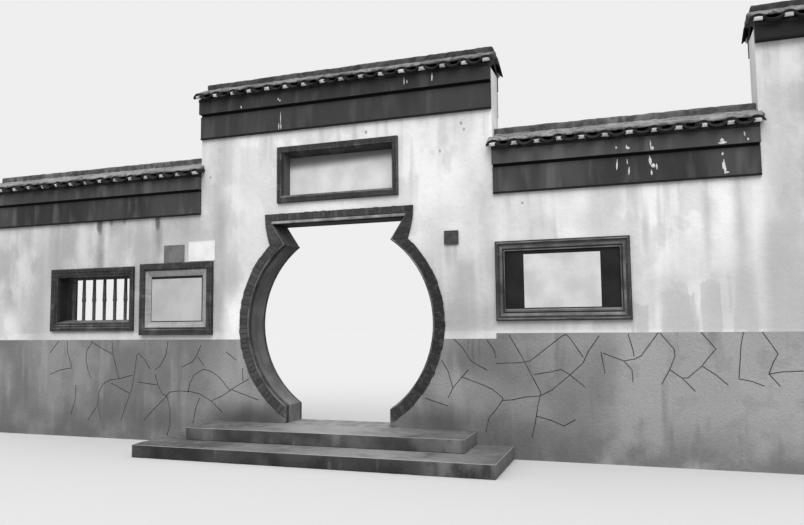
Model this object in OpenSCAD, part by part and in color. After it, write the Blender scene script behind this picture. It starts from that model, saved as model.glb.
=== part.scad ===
// Garden wall with a jar-shaped moon gate.
// X runs along the wall, Y through it with the front towards -Y, and Z is up.
// The origin is on the ground, on the gate's centre line and in the middle of the wall's thickness.

/* [Wall] */
// Thickness of the plastered wall
wall_t = 380; // [300:10:460]
// Length of the tall centre bay
centre_l = 4000; // [3400:50:5000]
// Length of the left wing
left_l = 3700; // [3200:50:5000]
// Length of the right wing
right_l = 2820; // [2000:20:4000]
// Length of the taller end bay
end_l = 1200; // [800:50:2000]
// How far the wings' friezes start below the centre bay's
wing_drop = 1020; // [920:10:1300]
// How far the end bay's frieze starts above the centre bay's
end_rise = 390; // [0:10:800]

/* [Dado] */
// Height of the dado on the left wing and the centre bay
dado_h = 1350; // [1200:10:1400]
// Height of the dado on the right wing and the end bay
right_dado_h = 1412; // [1200:2:1480]
// How far the dado stands out of the plaster
dado_t = 15; // [8:1:30]

/* [Frieze] */
// Height of the lower frieze course
lower_frieze_h = 308; // [220:2:400]
// Height of the groove between the two courses
groove_h = 30; // [15:1:60]
// Height of the upper frieze course
upper_frieze_h = 165; // [120:5:260]
// Height of the end bay's single course
end_frieze_h = 160; // [100:5:260]
// How far the lower course stands out of the plaster
lower_frieze_t = 30; // [15:1:60]
// How far the groove's bottom stands out of the plaster
groove_t = 6; // [2:1:12]
// How far the upper course stands out of the lower one
upper_frieze_t = 45; // [20:1:70]

/* [Coping] */
// How far the eaves stand out of the upper frieze course
eave_out = 75; // [40:5:120]
// Height of the eave's edge
eave_h = 55; // [30:1:80]
// Slope of the coping in degrees
coping_slope = 30; // [22:1:40]
// How far the coping passes the free end of a bay
verge_out = 60; // [20:5:120]
// How far a wing's eaves lap over the taller bay beside it
eave_lap = 60; // [20:5:100]
// Width of the ridge band
ridge_w = 160; // [100:5:220]
// Height of the ridge band above the coping's apex
ridge_h = 62; // [30:1:100]
// How much of that height the band's rounded top takes
ridge_crown = 14; // [5:1:25]

/* [Gateway] */
// Radius of the round belly, at the edge of the brick surround
bowl_r = 1243; // [1120:1:1400]
// Height of the straight jambs, from the threshold up to the belly
jamb_h = 214; // [100:2:300]
// Half of the width between the jambs at the foot
jamb_x = 695; // [500:5:760]
// Half of the width of the neck at its narrowest
neck_x = 720; // [560:5:780]
// Half of the width of the lip under the lintel
lip_x = 915; // [860:5:960]
// Height of the neck, from the belly up to the lip
neck_h = 280; // [200:5:400]
// Width of the brick surround round the belly
ring_w = 141; // [110:1:150]
// Height of the soldier course over the lip
lintel_h = 127; // [100:1:160]
// Width of the surround beside the lip
lip_side = 97; // [60:1:160]
// Radius of the surround's outer curve beside the neck
neck_curve_r = 1170; // [900:10:1400]
// Depth of the brick surround
ring_d = 63; // [40:1:90]
// How far the surround stands out of the plaster
ring_out = 18; // [8:1:30]
// Thickness of the plaster that lines the gateway
reveal_t = 30; // [20:1:50]
// How far the lining stands inside the brick surround
bead = 10; // [4:1:16]
// Thickness of the threshold slab
threshold_h = 60; // [40:5:100]

/* [Steps] */
// Rise of each step
riser = 150; // [120:5:180]
// Tread of the lower step
lower_tread = 455; // [300:5:600]
// Depth of the upper step, up to the wall
upper_tread = 610; // [400:10:900]
// Length of the upper step
upper_step_l = 3500; // [2400:50:3700]
// How far the lower step passes the upper one at each end
step_side = 425; // [200:5:600]

/* [Name tablet] */
// Width of the tablet's frame
tablet_w = 1660; // [1200:10:2000]
// Height of the tablet's frame
tablet_h = 737; // [500:1:760]
// Plaster between the surround and the tablet
tablet_gap = 135; // [80:5:240]
// Plaster between the tablet and the frieze
head_gap = 213; // [100:1:400]
// Width of the frame's face
tablet_frame_w = 85; // [60:5:120]
// How far the frame stands out of the plaster
tablet_out = 45; // [20:5:80]
// How deep the panel lies behind the plaster's face
tablet_deep = 135; // [60:5:200]
// Thickness of the frame's lining inside the niche
tablet_lining = 20; // [10:1:40]
// Thickness of the tablet's panel
panel_t = 25; // [15:1:40]

/* [Barred window] */
// Plaster between the window and the left board
window_side_gap = 127; // [60:1:200]
// Width of the window's frame
window_w = 1446; // [1000:2:1500]
// Height of the window's frame
window_h = 892; // [600:2:1000]
// Plaster between the window and the dado
window_gap = 123; // [60:1:300]
// Width of the frame's upright faces
window_side_w = 88; // [70:1:140]
// Width of the frame's upper and lower faces
window_rail_w = 118; // [80:1:150]
// How far the frame stands out of the plaster
window_out = 42; // [38:1:60]
// Thickness of the lining between the two frames
window_lining = 25; // [15:1:40]

/* [Notice boards] */
// Distance of the left board's middle from the gate's centre line
left_board_x = 2368; // [2150:2:2700]
// Width of the left board
left_board_w = 1150; // [900:10:1240]
// Height of the left board
left_board_h = 976; // [700:2:1000]
// Plaster between the left board and the dado
left_board_gap = 62; // [30:1:200]
// Distance of the right board's middle from the gate's centre line
right_board_x = 2752; // [2450:2:3100]
// Width of the right board
right_board_w = 1486; // [1000:2:1500]
// Height of the right board
right_board_h = 917; // [700:1:1000]
// Plaster between the right board and the dado
right_board_gap = 137; // [60:1:300]
// Width of the left board's upright faces
left_side_w = 90; // [70:1:130]
// Width of the left board's upper and lower faces
left_rail_w = 105; // [80:1:140]
// Width of the right board's upright faces
right_side_w = 110; // [80:1:140]
// Width of the right board's upper and lower faces
right_rail_w = 118; // [80:1:150]
// How far each board's frame stands out of the plaster
board_out = 62; // [52:1:90]
// Width of each step inside a frame
frame_step_w = 26; // [14:1:32]
// Depth of each of those steps
frame_step_d = 18; // [8:1:18]
// Thickness of each board's backing
backing_t = 10; // [6:1:16]
// Width of the left board's pale casing, which slopes in to the backing
casing_w = 74; // [40:1:110]

/* [Small fittings] */
// Width of the dark plaque
dark_plaque_w = 326; // [200:2:340]
// Height of the dark plaque
dark_plaque_h = 235; // [150:5:300]
// Width of the white plaque
white_plaque_w = 414; // [300:2:420]
// Height of the white plaque
white_plaque_h = 268; // [200:2:320]
// Thickness of the plaques
plaque_t = 14; // [8:1:25]
// Gap between the left board and the plaques above it
plaque_gap = 10; // [4:1:40]
// How far the white plaque passes the left board's end
plaque_over = 20; // [0:2:60]
// Gap between the two plaques
plaque_apart = 71; // [20:1:120]
// Width of the small wall box
box_w = 176; // [120:2:200]
// Height of the small wall box
box_h = 168; // [120:2:200]
// Distance of the box's middle from the gate's centre line
box_x = 1487; // [1450:1:1600]
// Height of the box's lower edge above the ground
box_z = 2458; // [2300:2:2700]
// How far the box stands out of the plaster
box_out = 26; // [10:1:40]

/* [Hidden] */
// Facets of the gate's large circles
arc_fn = 144;
// Spare length of a cut beyond the faces it opens
over = 10;
// Number of steps inside each moulded frame
window_steps = 2;
left_board_steps = 1;
right_board_steps = 2;

face = wall_t / 2;
centre_x = centre_l / 2;
left_x = -centre_x - left_l;
right_x = centre_x + right_l;
end_x = right_x + end_l;

// Gateway levels, from the threshold up to the top of the soldier course
sill_z = 2 * riser;
bowl_z = sill_z + jamb_h + sqrt(bowl_r * bowl_r - jamb_x * jamb_x);
neck_z = bowl_z + sqrt(bowl_r * bowl_r - neck_x * neck_x);
lip_z = neck_z + neck_h;
surround_z = lip_z + lintel_h;

// Height of each bay's plaster, up to its frieze
tablet_z = surround_z + tablet_gap;
centre_h = tablet_z + tablet_h + head_gap;
wing_h = centre_h - wing_drop;
end_h = centre_h + end_rise;

// Level where the frieze ends and the coping's eaves begin
courses_h = lower_frieze_h + groove_h + upper_frieze_h;
centre_top = centre_h + courses_h;
wing_top = wing_h + courses_h;
end_top = end_h + end_frieze_h;

frieze_out = lower_frieze_t + upper_frieze_t;
eave_y = face + frieze_out + eave_out;
gable_rise = face * tan(coping_slope);
coping_rise = eave_h + eave_y * tan(coping_slope);
ridge_y = ridge_w / 2;

ring_face = face + ring_out;
ring_back = ring_face - ring_d;
dado_face = face + dado_t;
outer_r = bowl_r + ring_w;
surround_x = lip_x + lip_side;
lining_x = jamb_x + reveal_t - bead;
core_x = (lip_x + surround_x) / 2;
core_z = lip_z - bead;
flare = (lip_x - neck_x) / neck_h;

upper_front = dado_face + upper_tread;
lower_front = upper_front + lower_tread;
lower_step_x = upper_step_l / 2 + step_side;

left_board_z = dado_h + left_board_gap;
right_board_z = right_dado_h + right_board_gap;
window_z = dado_h + window_gap;
window_x = left_board_x + left_board_w / 2 + window_side_gap + window_w / 2;
window_open_w = window_w - 2 * window_side_w;
window_open_h = window_h - 2 * window_rail_w;
tablet_open_w = tablet_w - 2 * tablet_frame_w;
tablet_open_h = tablet_h - 2 * tablet_frame_w;
tablet_mid_z = tablet_z + tablet_h / 2;
panel_face = face - tablet_deep;
plaque_z = left_board_z + left_board_h + plaque_gap;
white_plaque_x = left_board_x - left_board_w / 2 - plaque_over + white_plaque_w / 2;
dark_plaque_x = white_plaque_x + white_plaque_w / 2 + plaque_apart + dark_plaque_w / 2;

plaster = "whitesmoke";
render = "darkgray";
brick = "dimgray";
tile = "slategray";
timber = "#3c3c3a";
concrete = "gray";

// Box between two corners
module block(low, high) {
    translate(low) cube(high - low);
}

// Outline in Y and Z, run along the wall from x0 to x1
module along_wall(x0, x1) {
    translate([x0, 0, 0]) rotate([90, 0, 90]) linear_extrude(height = x1 - x0) children();
}

// Outline in X and Z, run through the wall from y0 to y1
module through_wall(y0, y1) {
    translate([0, y1, 0]) rotate([90, 0, 0]) linear_extrude(height = y1 - y0) children();
}

// The same shape on the front and on the back of the wall
module both_faces() {
    children();
    mirror([0, 1, 0]) children();
}

// Rectangle in X and Z, centred on x
module panel_outline(x, z, w, h) {
    translate([x - w / 2, z]) square([w, h]);
}

// Wall section with the gable top that the coping sits on
module wall_section(top) {
    polygon([[-face, 0], [face, 0], [face, top], [0, top + gable_rise], [-face, top]]);
}

// Coping section: two slopes over the wall's gable top
module coping_section(top) {
    polygon([
        [-eave_y, top], [-eave_y, top + eave_h], [0, top + coping_rise], [eave_y, top + eave_h], [eave_y, top],
        [face, top], [0, top + gable_rise], [-face, top]
    ]);
}

// Gateway outline, grown by d on all sides: round belly, straight jambs and flared neck
module gate_outline(d = 0) {
    side = d * sqrt(1 + flare * flare);
    low = neck_z - neck_x / 8;
    low_x = neck_x + (low - neck_z) * flare + side;
    high_x = lip_x + d * flare + side;
    translate([0, bowl_z]) circle(r = bowl_r + d, $fn = arc_fn);
    translate([-jamb_x - d, -over]) square([2 * (jamb_x + d), bowl_z + over]);
    polygon([[-low_x, low], [low_x, low], [high_x, lip_z + d], [-high_x, lip_z + d]]);
}

// Outer outline of the brick surround
module surround_outline() {
    translate([0, bowl_z]) circle(r = outer_r, $fn = arc_fn);
    translate([-lining_x, sill_z]) square([2 * lining_x, bowl_z - sill_z]);
    intersection() {
        translate([surround_x - neck_curve_r, surround_z]) circle(r = neck_curve_r, $fn = arc_fn);
        translate([neck_curve_r - surround_x, surround_z]) circle(r = neck_curve_r, $fn = arc_fn);
        translate([-surround_x, bowl_z]) square([2 * surround_x, surround_z - bowl_z]);
    }
}

// Face of the soldier course between the two lips
module lintel_outline() {
    translate([-lip_x, lip_z]) square([2 * lip_x, lintel_h]);
}

// Everything that is cut from the centre bay for the gateway and its surround
module gateway_cut() {
    through_wall(-face - over, face + over) gate_outline(reveal_t - bead);
    both_faces() through_wall(-face - over, -ring_back) surround_outline();
    block([-core_x, -ring_back, core_z], [core_x, ring_back, surround_z + over]);
}

// Half of the centre bay beside the gateway; side is -1 for left and 1 for right
module centre_wall_side(side) {
    color(plaster) difference() {
        block([min(side * lining_x, side * centre_x), -face, 0], [max(side * lining_x, side * centre_x), face, surround_z]);
        gateway_cut();
    }
}

module centre_wall_left() {
    centre_wall_side(-1);
}

module centre_wall_right() {
    centre_wall_side(1);
}

module centre_wall_head() {
    color(plaster) difference() {
        along_wall(-centre_x, centre_x) wall_section(centre_top);
        block([-centre_x - over, -face - over, -over], [centre_x + over, face + over, surround_z]);
        tablet_niche();
    }
}

module left_wing_wall() {
    color(plaster) difference() {
        along_wall(left_x, -centre_x) wall_section(wing_top);
        window_cut();
    }
}

module right_wing_wall() {
    color(plaster) along_wall(centre_x, right_x) wall_section(wing_top);
}

module end_bay_wall() {
    color(plaster) along_wall(right_x, end_x) wall_section(end_top);
}

// Dado slabs on both faces between x0 and x1
module dado(x0, x1, h) {
    color(render) both_faces() block([x0, -dado_face, 0], [x1, -face, h]);
}

// Dado slabs beside the gateway, cut round its surround
module centre_dado(side) {
    color(render) both_faces() difference() {
        block([min(side * lining_x, side * centre_x), -dado_face, 0], [max(side * lining_x, side * centre_x), -face, dado_h]);
        through_wall(-dado_face - over, -face + over) surround_outline();
    }
}

module left_wing_dado() {
    dado(left_x, -centre_x, dado_h);
}

module centre_dado_left() {
    centre_dado(-1);
}

module centre_dado_right() {
    centre_dado(1);
}

module right_wing_dado() {
    dado(centre_x, right_x, right_dado_h);
}

module end_bay_dado() {
    dado(right_x, end_x, right_dado_h);
}

// Lower frieze course on both faces, with the groove along its top
module lower_frieze(x0, x1, z) {
    groove_z = z + lower_frieze_h;
    color(brick) both_faces() {
        block([x0, -face - lower_frieze_t, z], [x1, -face, groove_z]);
        block([x0, -face - groove_t, groove_z], [x1, -face, groove_z + groove_h]);
    }
}

// Frieze course on both faces that carries the eaves
module upper_frieze(x0, x1, z, h) {
    color(brick) both_faces() block([x0, -face - frieze_out, z], [x1, -face, z + h]);
}

module left_wing_lower_frieze() {
    lower_frieze(left_x, -centre_x, wing_h);
}

module left_wing_upper_frieze() {
    upper_frieze(left_x, -centre_x, wing_top - upper_frieze_h, upper_frieze_h);
}

module centre_lower_frieze() {
    lower_frieze(-centre_x, centre_x, centre_h);
}

module centre_upper_frieze() {
    upper_frieze(-centre_x, centre_x, centre_top - upper_frieze_h, upper_frieze_h);
}

module right_wing_lower_frieze() {
    lower_frieze(centre_x, right_x, wing_h);
}

module right_wing_upper_frieze() {
    upper_frieze(centre_x, right_x, wing_top - upper_frieze_h, upper_frieze_h);
}

module end_bay_frieze() {
    upper_frieze(right_x, end_x, end_h, end_frieze_h);
}

// Coping from x0 to x1 whose eaves alone run on by lap0 and lap1 over the taller bays
module coping(x0, x1, top, lap0 = 0, lap1 = 0) {
    color(tile) difference() {
        along_wall(x0 - lap0, x1 + lap1) coping_section(top);
        if (lap0 > 0) block([x0 - lap0 - over, -face, top - over], [x0, face, top + coping_rise + over]);
        if (lap1 > 0) block([x1, -face, top - over], [x1 + lap1 + over, face, top + coping_rise + over]);
    }
}

// Ridge band that straddles the coping's apex
module ridge(x0, x1, top) {
    apex = top + coping_rise;
    foot = apex - ridge_y * tan(coping_slope);
    shoulder = apex + ridge_h - ridge_crown;
    color(tile) along_wall(x0, x1) polygon([
        [-ridge_y, foot], [-ridge_y, shoulder], [-ridge_y / 2, apex + ridge_h], [ridge_y / 2, apex + ridge_h],
        [ridge_y, shoulder], [ridge_y, foot], [0, apex]
    ]);
}

module left_wing_coping() {
    coping(left_x - verge_out, -centre_x, wing_top, 0, eave_lap);
}

module centre_coping() {
    coping(-centre_x - verge_out, centre_x + verge_out, centre_top);
}

module right_wing_coping() {
    coping(centre_x, right_x, wing_top, eave_lap, eave_lap);
}

module end_bay_coping() {
    coping(right_x - verge_out, end_x + verge_out, end_top);
}

module left_wing_ridge() {
    ridge(left_x - verge_out, -centre_x, wing_top);
}

module centre_ridge() {
    ridge(-centre_x - verge_out, centre_x + verge_out, centre_top);
}

module right_wing_ridge() {
    ridge(centre_x, right_x, wing_top);
}

module end_bay_ridge() {
    ridge(right_x - verge_out, end_x + verge_out, end_top);
}

// One side of the brick surround, from the foot of the jamb to the lintel's end
module gate_surround(side) {
    color(brick) both_faces() through_wall(-ring_face, -ring_back) difference() {
        surround_outline();
        gate_outline();
        lintel_outline();
        translate([side > 0 ? -2 * surround_x : 0, -over]) square([2 * surround_x, 2 * surround_z]);
    }
}

module gate_surround_left() {
    gate_surround(-1);
}

module gate_surround_right() {
    gate_surround(1);
}

module gate_lintel() {
    color(brick) both_faces() through_wall(-ring_face, -ring_back) lintel_outline();
}

// Beam between the two soldier courses, whose soffit closes the neck
module lintel_core() {
    color(plaster) block([-core_x, -ring_back, core_z], [core_x, ring_back, surround_z]);
}

// Plaster lining of one side of the gateway, between the two surrounds
module gate_reveal(side) {
    color(render) through_wall(-ring_back, ring_back) difference() {
        gate_outline(reveal_t - bead);
        gate_outline(-bead);
        translate([side > 0 ? -2 * outer_r : 0, -2 * over]) square([2 * outer_r, 2 * surround_z]);
        translate([-outer_r, -2 * over]) square([2 * outer_r, sill_z + 2 * over]);
        translate([-outer_r, core_z]) square([2 * outer_r, lintel_h]);
    }
}

module gate_reveal_left() {
    gate_reveal(-1);
}

module gate_reveal_right() {
    gate_reveal(1);
}

module threshold_base() {
    color(render) block([-lining_x, -dado_face, 0], [lining_x, dado_face, sill_z - threshold_h]);
}

module threshold_slab() {
    color(concrete) block([-lining_x, -dado_face, sill_z - threshold_h], [lining_x, dado_face, sill_z]);
}

module lower_step() {
    color(concrete) block([-lower_step_x, -lower_front, 0], [lower_step_x, -dado_face, riser]);
}

module upper_step() {
    color(concrete) block([-upper_step_l / 2, -upper_front, riser], [upper_step_l / 2, -dado_face, sill_z]);
}

// Recess in the wall for the tablet's lining and panel
module tablet_niche() {
    w = tablet_open_w + 2 * tablet_lining;
    h = tablet_open_h + 2 * tablet_lining;
    through_wall(-face - over, -panel_face + panel_t) panel_outline(0, tablet_mid_z - h / 2, w, h);
}

module name_tablet_frame() {
    w = tablet_open_w + 2 * tablet_lining;
    h = tablet_open_h + 2 * tablet_lining;
    color(timber) difference() {
        union() {
            through_wall(-face - tablet_out, -face) panel_outline(0, tablet_z, tablet_w, tablet_h);
            through_wall(-face - tablet_out, -panel_face) panel_outline(0, tablet_mid_z - h / 2, w, h);
        }
        through_wall(-face - tablet_out - over, -panel_face + over)
            panel_outline(0, tablet_z + tablet_frame_w, tablet_open_w, tablet_open_h);
    }
}

module name_tablet_panel() {
    w = tablet_open_w + 2 * tablet_lining;
    h = tablet_open_h + 2 * tablet_lining;
    color(plaster) through_wall(-panel_face, -panel_face + panel_t) panel_outline(0, tablet_mid_z - h / 2, w, h);
}

// Frame in X and Z with a rectangular hole, run from y0 to y1
module hollow_frame(y0, y1, x, z, w, h, side_w, rail_w) {
    difference() {
        through_wall(y0, y1) panel_outline(x, z, w, h);
        through_wall(y0 - over, y1 + over) panel_outline(x, z + rail_w, w - 2 * side_w, h - 2 * rail_w);
    }
}

// Moulded frame that lies on the plaster and steps back towards its inner edge
module moulded_frame(x, z, w, h, side_w, rail_w, out, steps) {
    difference() {
        hollow_frame(-face - out, -face, x, z, w, h, side_w, rail_w);
        for (i = [1:steps]) {
            grow = frame_step_w * (steps + 1 - i);
            through_wall(-face - out - over, -face - out + frame_step_d * i)
                panel_outline(x, z + rail_w - grow, w - 2 * (side_w - grow), h - 2 * (rail_w - grow));
        }
    }
}

// Hole through the left wing for the window's lining
module window_cut() {
    through_wall(-face - over, face + over) panel_outline(
        -window_x, window_z + window_rail_w - window_lining,
        window_open_w + 2 * window_lining, window_open_h + 2 * window_lining
    );
}

// The window's two moulded frames and the lining that joins them through the wall
module window_frame() {
    color(timber) {
        both_faces() moulded_frame(
            -window_x, window_z, window_w, window_h, window_side_w, window_rail_w, window_out, window_steps
        );
        hollow_frame(
            -face, face, -window_x, window_z + window_rail_w - window_lining,
            window_open_w + 2 * window_lining, window_open_h + 2 * window_lining, window_lining, window_lining
        );
    }
}

module left_board_frame() {
    color(timber) moulded_frame(
        -left_board_x, left_board_z, left_board_w, left_board_h, left_side_w, left_rail_w, board_out, left_board_steps
    );
}

// The left board's backing in its pale casing, whose four sides slope in to the sheet
module left_board_panel() {
    inner_w = left_board_w - 2 * left_side_w;
    inner_z = left_board_z + left_rail_w;
    inner_h = left_board_h - 2 * left_rail_w;
    front = face + board_out - left_board_steps * frame_step_d;
    back = face + backing_t;
    slope = casing_w / (front - back);
    half_w = inner_w / 2;
    back_w = half_w - casing_w;
    front_w = half_w + slope;
    color("lightgray") difference() {
        through_wall(-front, -face) panel_outline(-left_board_x, inner_z, inner_w, inner_h);
        intersection() {
            translate([-left_board_x, 0, inner_z - over]) linear_extrude(height = inner_h + 2 * over)
                polygon([[-front_w, -front - 1], [front_w, -front - 1], [back_w, -back], [-back_w, -back]]);
            along_wall(-left_board_x - half_w - over, -left_board_x + half_w + over) polygon([
                [-front - 1, inner_z - slope], [-front - 1, inner_z + inner_h + slope],
                [-back, inner_z + inner_h - casing_w], [-back, inner_z + casing_w]
            ]);
        }
    }
}

module right_board_frame() {
    color(timber) moulded_frame(
        right_board_x, right_board_z, right_board_w, right_board_h, right_side_w, right_rail_w, board_out,
        right_board_steps
    );
}

// Backing board that fills the right frame
module right_board_panel() {
    color("#2a2a2a") through_wall(-face - backing_t, -face) panel_outline(
        right_board_x, right_board_z + right_rail_w, right_board_w - 2 * right_side_w, right_board_h - 2 * right_rail_w
    );
}

module small_plaques() {
    color("silver") through_wall(-face - plaque_t, -face) {
        panel_outline(-dark_plaque_x, plaque_z, dark_plaque_w, dark_plaque_h);
        panel_outline(-white_plaque_x, plaque_z, white_plaque_w, white_plaque_h);
    }
}

module wall_box() {
    color("#4a4a4a") through_wall(-face - box_out, -face) panel_outline(box_x, box_z, box_w, box_h);
}

left_wing_wall();
centre_wall_left();
centre_wall_right();
centre_wall_head();
right_wing_wall();
end_bay_wall();
left_wing_dado();
centre_dado_left();
centre_dado_right();
right_wing_dado();
end_bay_dado();
left_wing_lower_frieze();
left_wing_upper_frieze();
centre_lower_frieze();
centre_upper_frieze();
right_wing_lower_frieze();
right_wing_upper_frieze();
end_bay_frieze();
left_wing_coping();
centre_coping();
right_wing_coping();
end_bay_coping();
left_wing_ridge();
centre_ridge();
right_wing_ridge();
end_bay_ridge();
gate_surround_left();
gate_surround_right();
gate_lintel();
lintel_core();
gate_reveal_left();
gate_reveal_right();
threshold_base();
threshold_slab();
lower_step();
upper_step();
name_tablet_frame();
name_tablet_panel();
window_frame();
left_board_frame();
left_board_panel();
right_board_frame();
right_board_panel();
small_plaques();
wall_box();
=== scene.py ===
# %% [markdown]
# A moon gate in a garden wall.
# The packed model gives every wall, frame and step at its real size. This script dresses it: bricks,
# tiles, mouldings, sheets, scored lines, drops of lime and the finish of each surface. Greys are written
# as they would be read off a print.

# %% Load the frame and keep its box
import math
import random
from contextlib import contextmanager

import bmesh
import bpy
from mathutils import Matrix, Vector


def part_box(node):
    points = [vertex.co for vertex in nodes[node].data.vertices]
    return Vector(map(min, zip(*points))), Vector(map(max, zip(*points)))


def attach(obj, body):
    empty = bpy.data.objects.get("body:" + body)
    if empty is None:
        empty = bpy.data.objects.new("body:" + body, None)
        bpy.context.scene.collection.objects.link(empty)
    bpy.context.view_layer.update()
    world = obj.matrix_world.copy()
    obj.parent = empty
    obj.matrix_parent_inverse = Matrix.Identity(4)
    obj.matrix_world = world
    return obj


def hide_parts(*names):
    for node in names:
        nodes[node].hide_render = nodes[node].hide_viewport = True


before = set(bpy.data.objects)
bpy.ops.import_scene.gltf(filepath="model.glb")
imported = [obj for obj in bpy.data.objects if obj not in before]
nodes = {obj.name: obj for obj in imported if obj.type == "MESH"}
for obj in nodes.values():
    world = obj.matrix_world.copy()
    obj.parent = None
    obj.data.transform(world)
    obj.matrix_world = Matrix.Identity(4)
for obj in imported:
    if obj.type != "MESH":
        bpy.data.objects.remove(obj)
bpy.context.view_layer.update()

scene = bpy.context.scene
print("nodes:", len(nodes))

# %% [markdown]
# The camera stands eight metres in front of the wall, to the right of the gate, and looks up a little to
# the left. Its place was found from the wall's level and upright lines, so it stays as measured.

# %% Camera
CAMERA_AT = Vector((3.592, -8.19, 1.576))
CAMERA_TURN = math.radians(18.85)
CAMERA_TILT = math.radians(94.7)
CAMERA_ROLL = math.radians(-0.7)
SENSOR_W = 36.0
FOCAL_PX = 700.0
PHOTO_W = 804
PHOTO_H = 525

camera = bpy.data.objects.new("camera", bpy.data.cameras.new("camera"))
scene.collection.objects.link(camera)
camera.data.sensor_width = SENSOR_W
camera.data.lens = SENSOR_W * FOCAL_PX / PHOTO_W
turned = Matrix.Rotation(CAMERA_TURN, 4, "Z") @ Matrix.Rotation(CAMERA_TILT, 4, "X")
camera.matrix_world = Matrix.Translation(CAMERA_AT) @ turned @ Matrix.Rotation(CAMERA_ROLL, 4, "Z")
scene.camera = camera
print("lens:", round(camera.data.lens, 2))


def seen_at(px, py, y):
    """Where the ray through a pixel of the photograph meets the upright plane at y."""
    ray = Vector(((px - PHOTO_W / 2) / FOCAL_PX, (PHOTO_H / 2 - py) / FOCAL_PX, -1.0))
    ray = camera.matrix_world.to_3x3() @ ray
    return CAMERA_AT + ray * ((y - CAMERA_AT.y) / ray.y)


# %% [markdown]
# Sky and finishes are both trees of nodes. The class below keeps them short: a method adds one node and
# gives back its output, and a socket may be given a value or the output of another node.

# %% A class for node trees


class Nodes:
    """A tree of nodes in the making."""

    def __init__(self, tree):
        self.tree = tree

    def add(self, kind, sockets=None, **settings):
        made = self.tree.nodes.new("ShaderNode" + kind)
        for key, value in settings.items():
            setattr(made, key, value)
        for key, value in (sockets or {}).items():
            if isinstance(value, bpy.types.NodeSocket):
                self.tree.links.new(value, made.inputs[key])
            else:
                made.inputs[key].default_value = value
        return made

    def math(self, kind, first, second):
        return self.add("Math", {0: first, 1: second}, operation=kind).outputs[0]

    def times(self, first, second):
        return self.math("MULTIPLY", first, second)

    def mix(self, share, first, second):
        return self.add("Mix", {0: share, 2: first, 3: second}, data_type="FLOAT").outputs[0]


print("node methods:", [name for name in vars(Nodes) if not name.startswith("_")])

# %% [markdown]
# The light is an overcast day: a pale sky that is brighter overhead than near the ground, and one very
# soft lamp from the upper right that leaves shade under eaves and frames. The camera sees the sky as
# plain pale, and so does gloss.

# %% Sky and lamp
SKY_TOP = 1.16
SKY_EDGE = 0.72
SKY_BELOW = 0.30
BACKDROP = 0.86
SUN_STRENGTH = 1.9
SUN_SOFT = math.radians(50)
SUN_TILT = math.radians(42)
SUN_TURN = math.radians(18)

scene.view_settings.view_transform = "Standard"
scene.world = bpy.data.worlds.new("overcast")
scene.world.use_nodes = True
sky = Nodes(scene.world.node_tree)
height = sky.add("SeparateXYZ", {0: sky.add("TexCoord").outputs["Generated"]}).outputs["Z"]
above = sky.add("MapRange", {"Value": height, "To Min": SKY_EDGE, "To Max": SKY_TOP}).outputs["Result"]
strength = sky.mix(sky.math("LESS_THAN", height, 0.0), above, SKY_BELOW)
rays = sky.add("LightPath").outputs
seen_or_gloss = sky.math("MAXIMUM", rays["Is Camera Ray"], rays["Is Glossy Ray"])
plain = sky.math("MAXIMUM", seen_or_gloss, rays["Is Transmission Ray"])
background = sky.tree.nodes["Background"].inputs
background["Color"].default_value = (1, 1, 1, 1)
sky.tree.links.new(sky.mix(plain, strength, BACKDROP), background["Strength"])

sun = bpy.data.objects.new("soft_lamp", bpy.data.lights.new("soft_lamp", "SUN"))
scene.collection.objects.link(sun)
sun.data.energy = SUN_STRENGTH
sun.data.angle = SUN_SOFT
sun.rotation_euler = (SUN_TILT, 0, SUN_TURN)
print("sky nodes:", len(sky.tree.nodes))

# %% [markdown]
# Every finish is a small set of nodes over Object coordinates, which here are metres in the wall's own
# frame. It keeps a tone, the grey so far, and each step paints over it. Greys are given from 0 to 255 as
# on a print, and turned into the linear values that a shader wants. A cloud is given by its patches per
# metre, its detail, and the low and high value between which it fades.

# %% A class for finishes


def grey(level):
    """Linear value of a grey from 0 to 255."""
    share = level / 255
    return share / 12.92 if share < 0.04 else ((share + 0.055) / 1.055) ** 2.4


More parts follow.
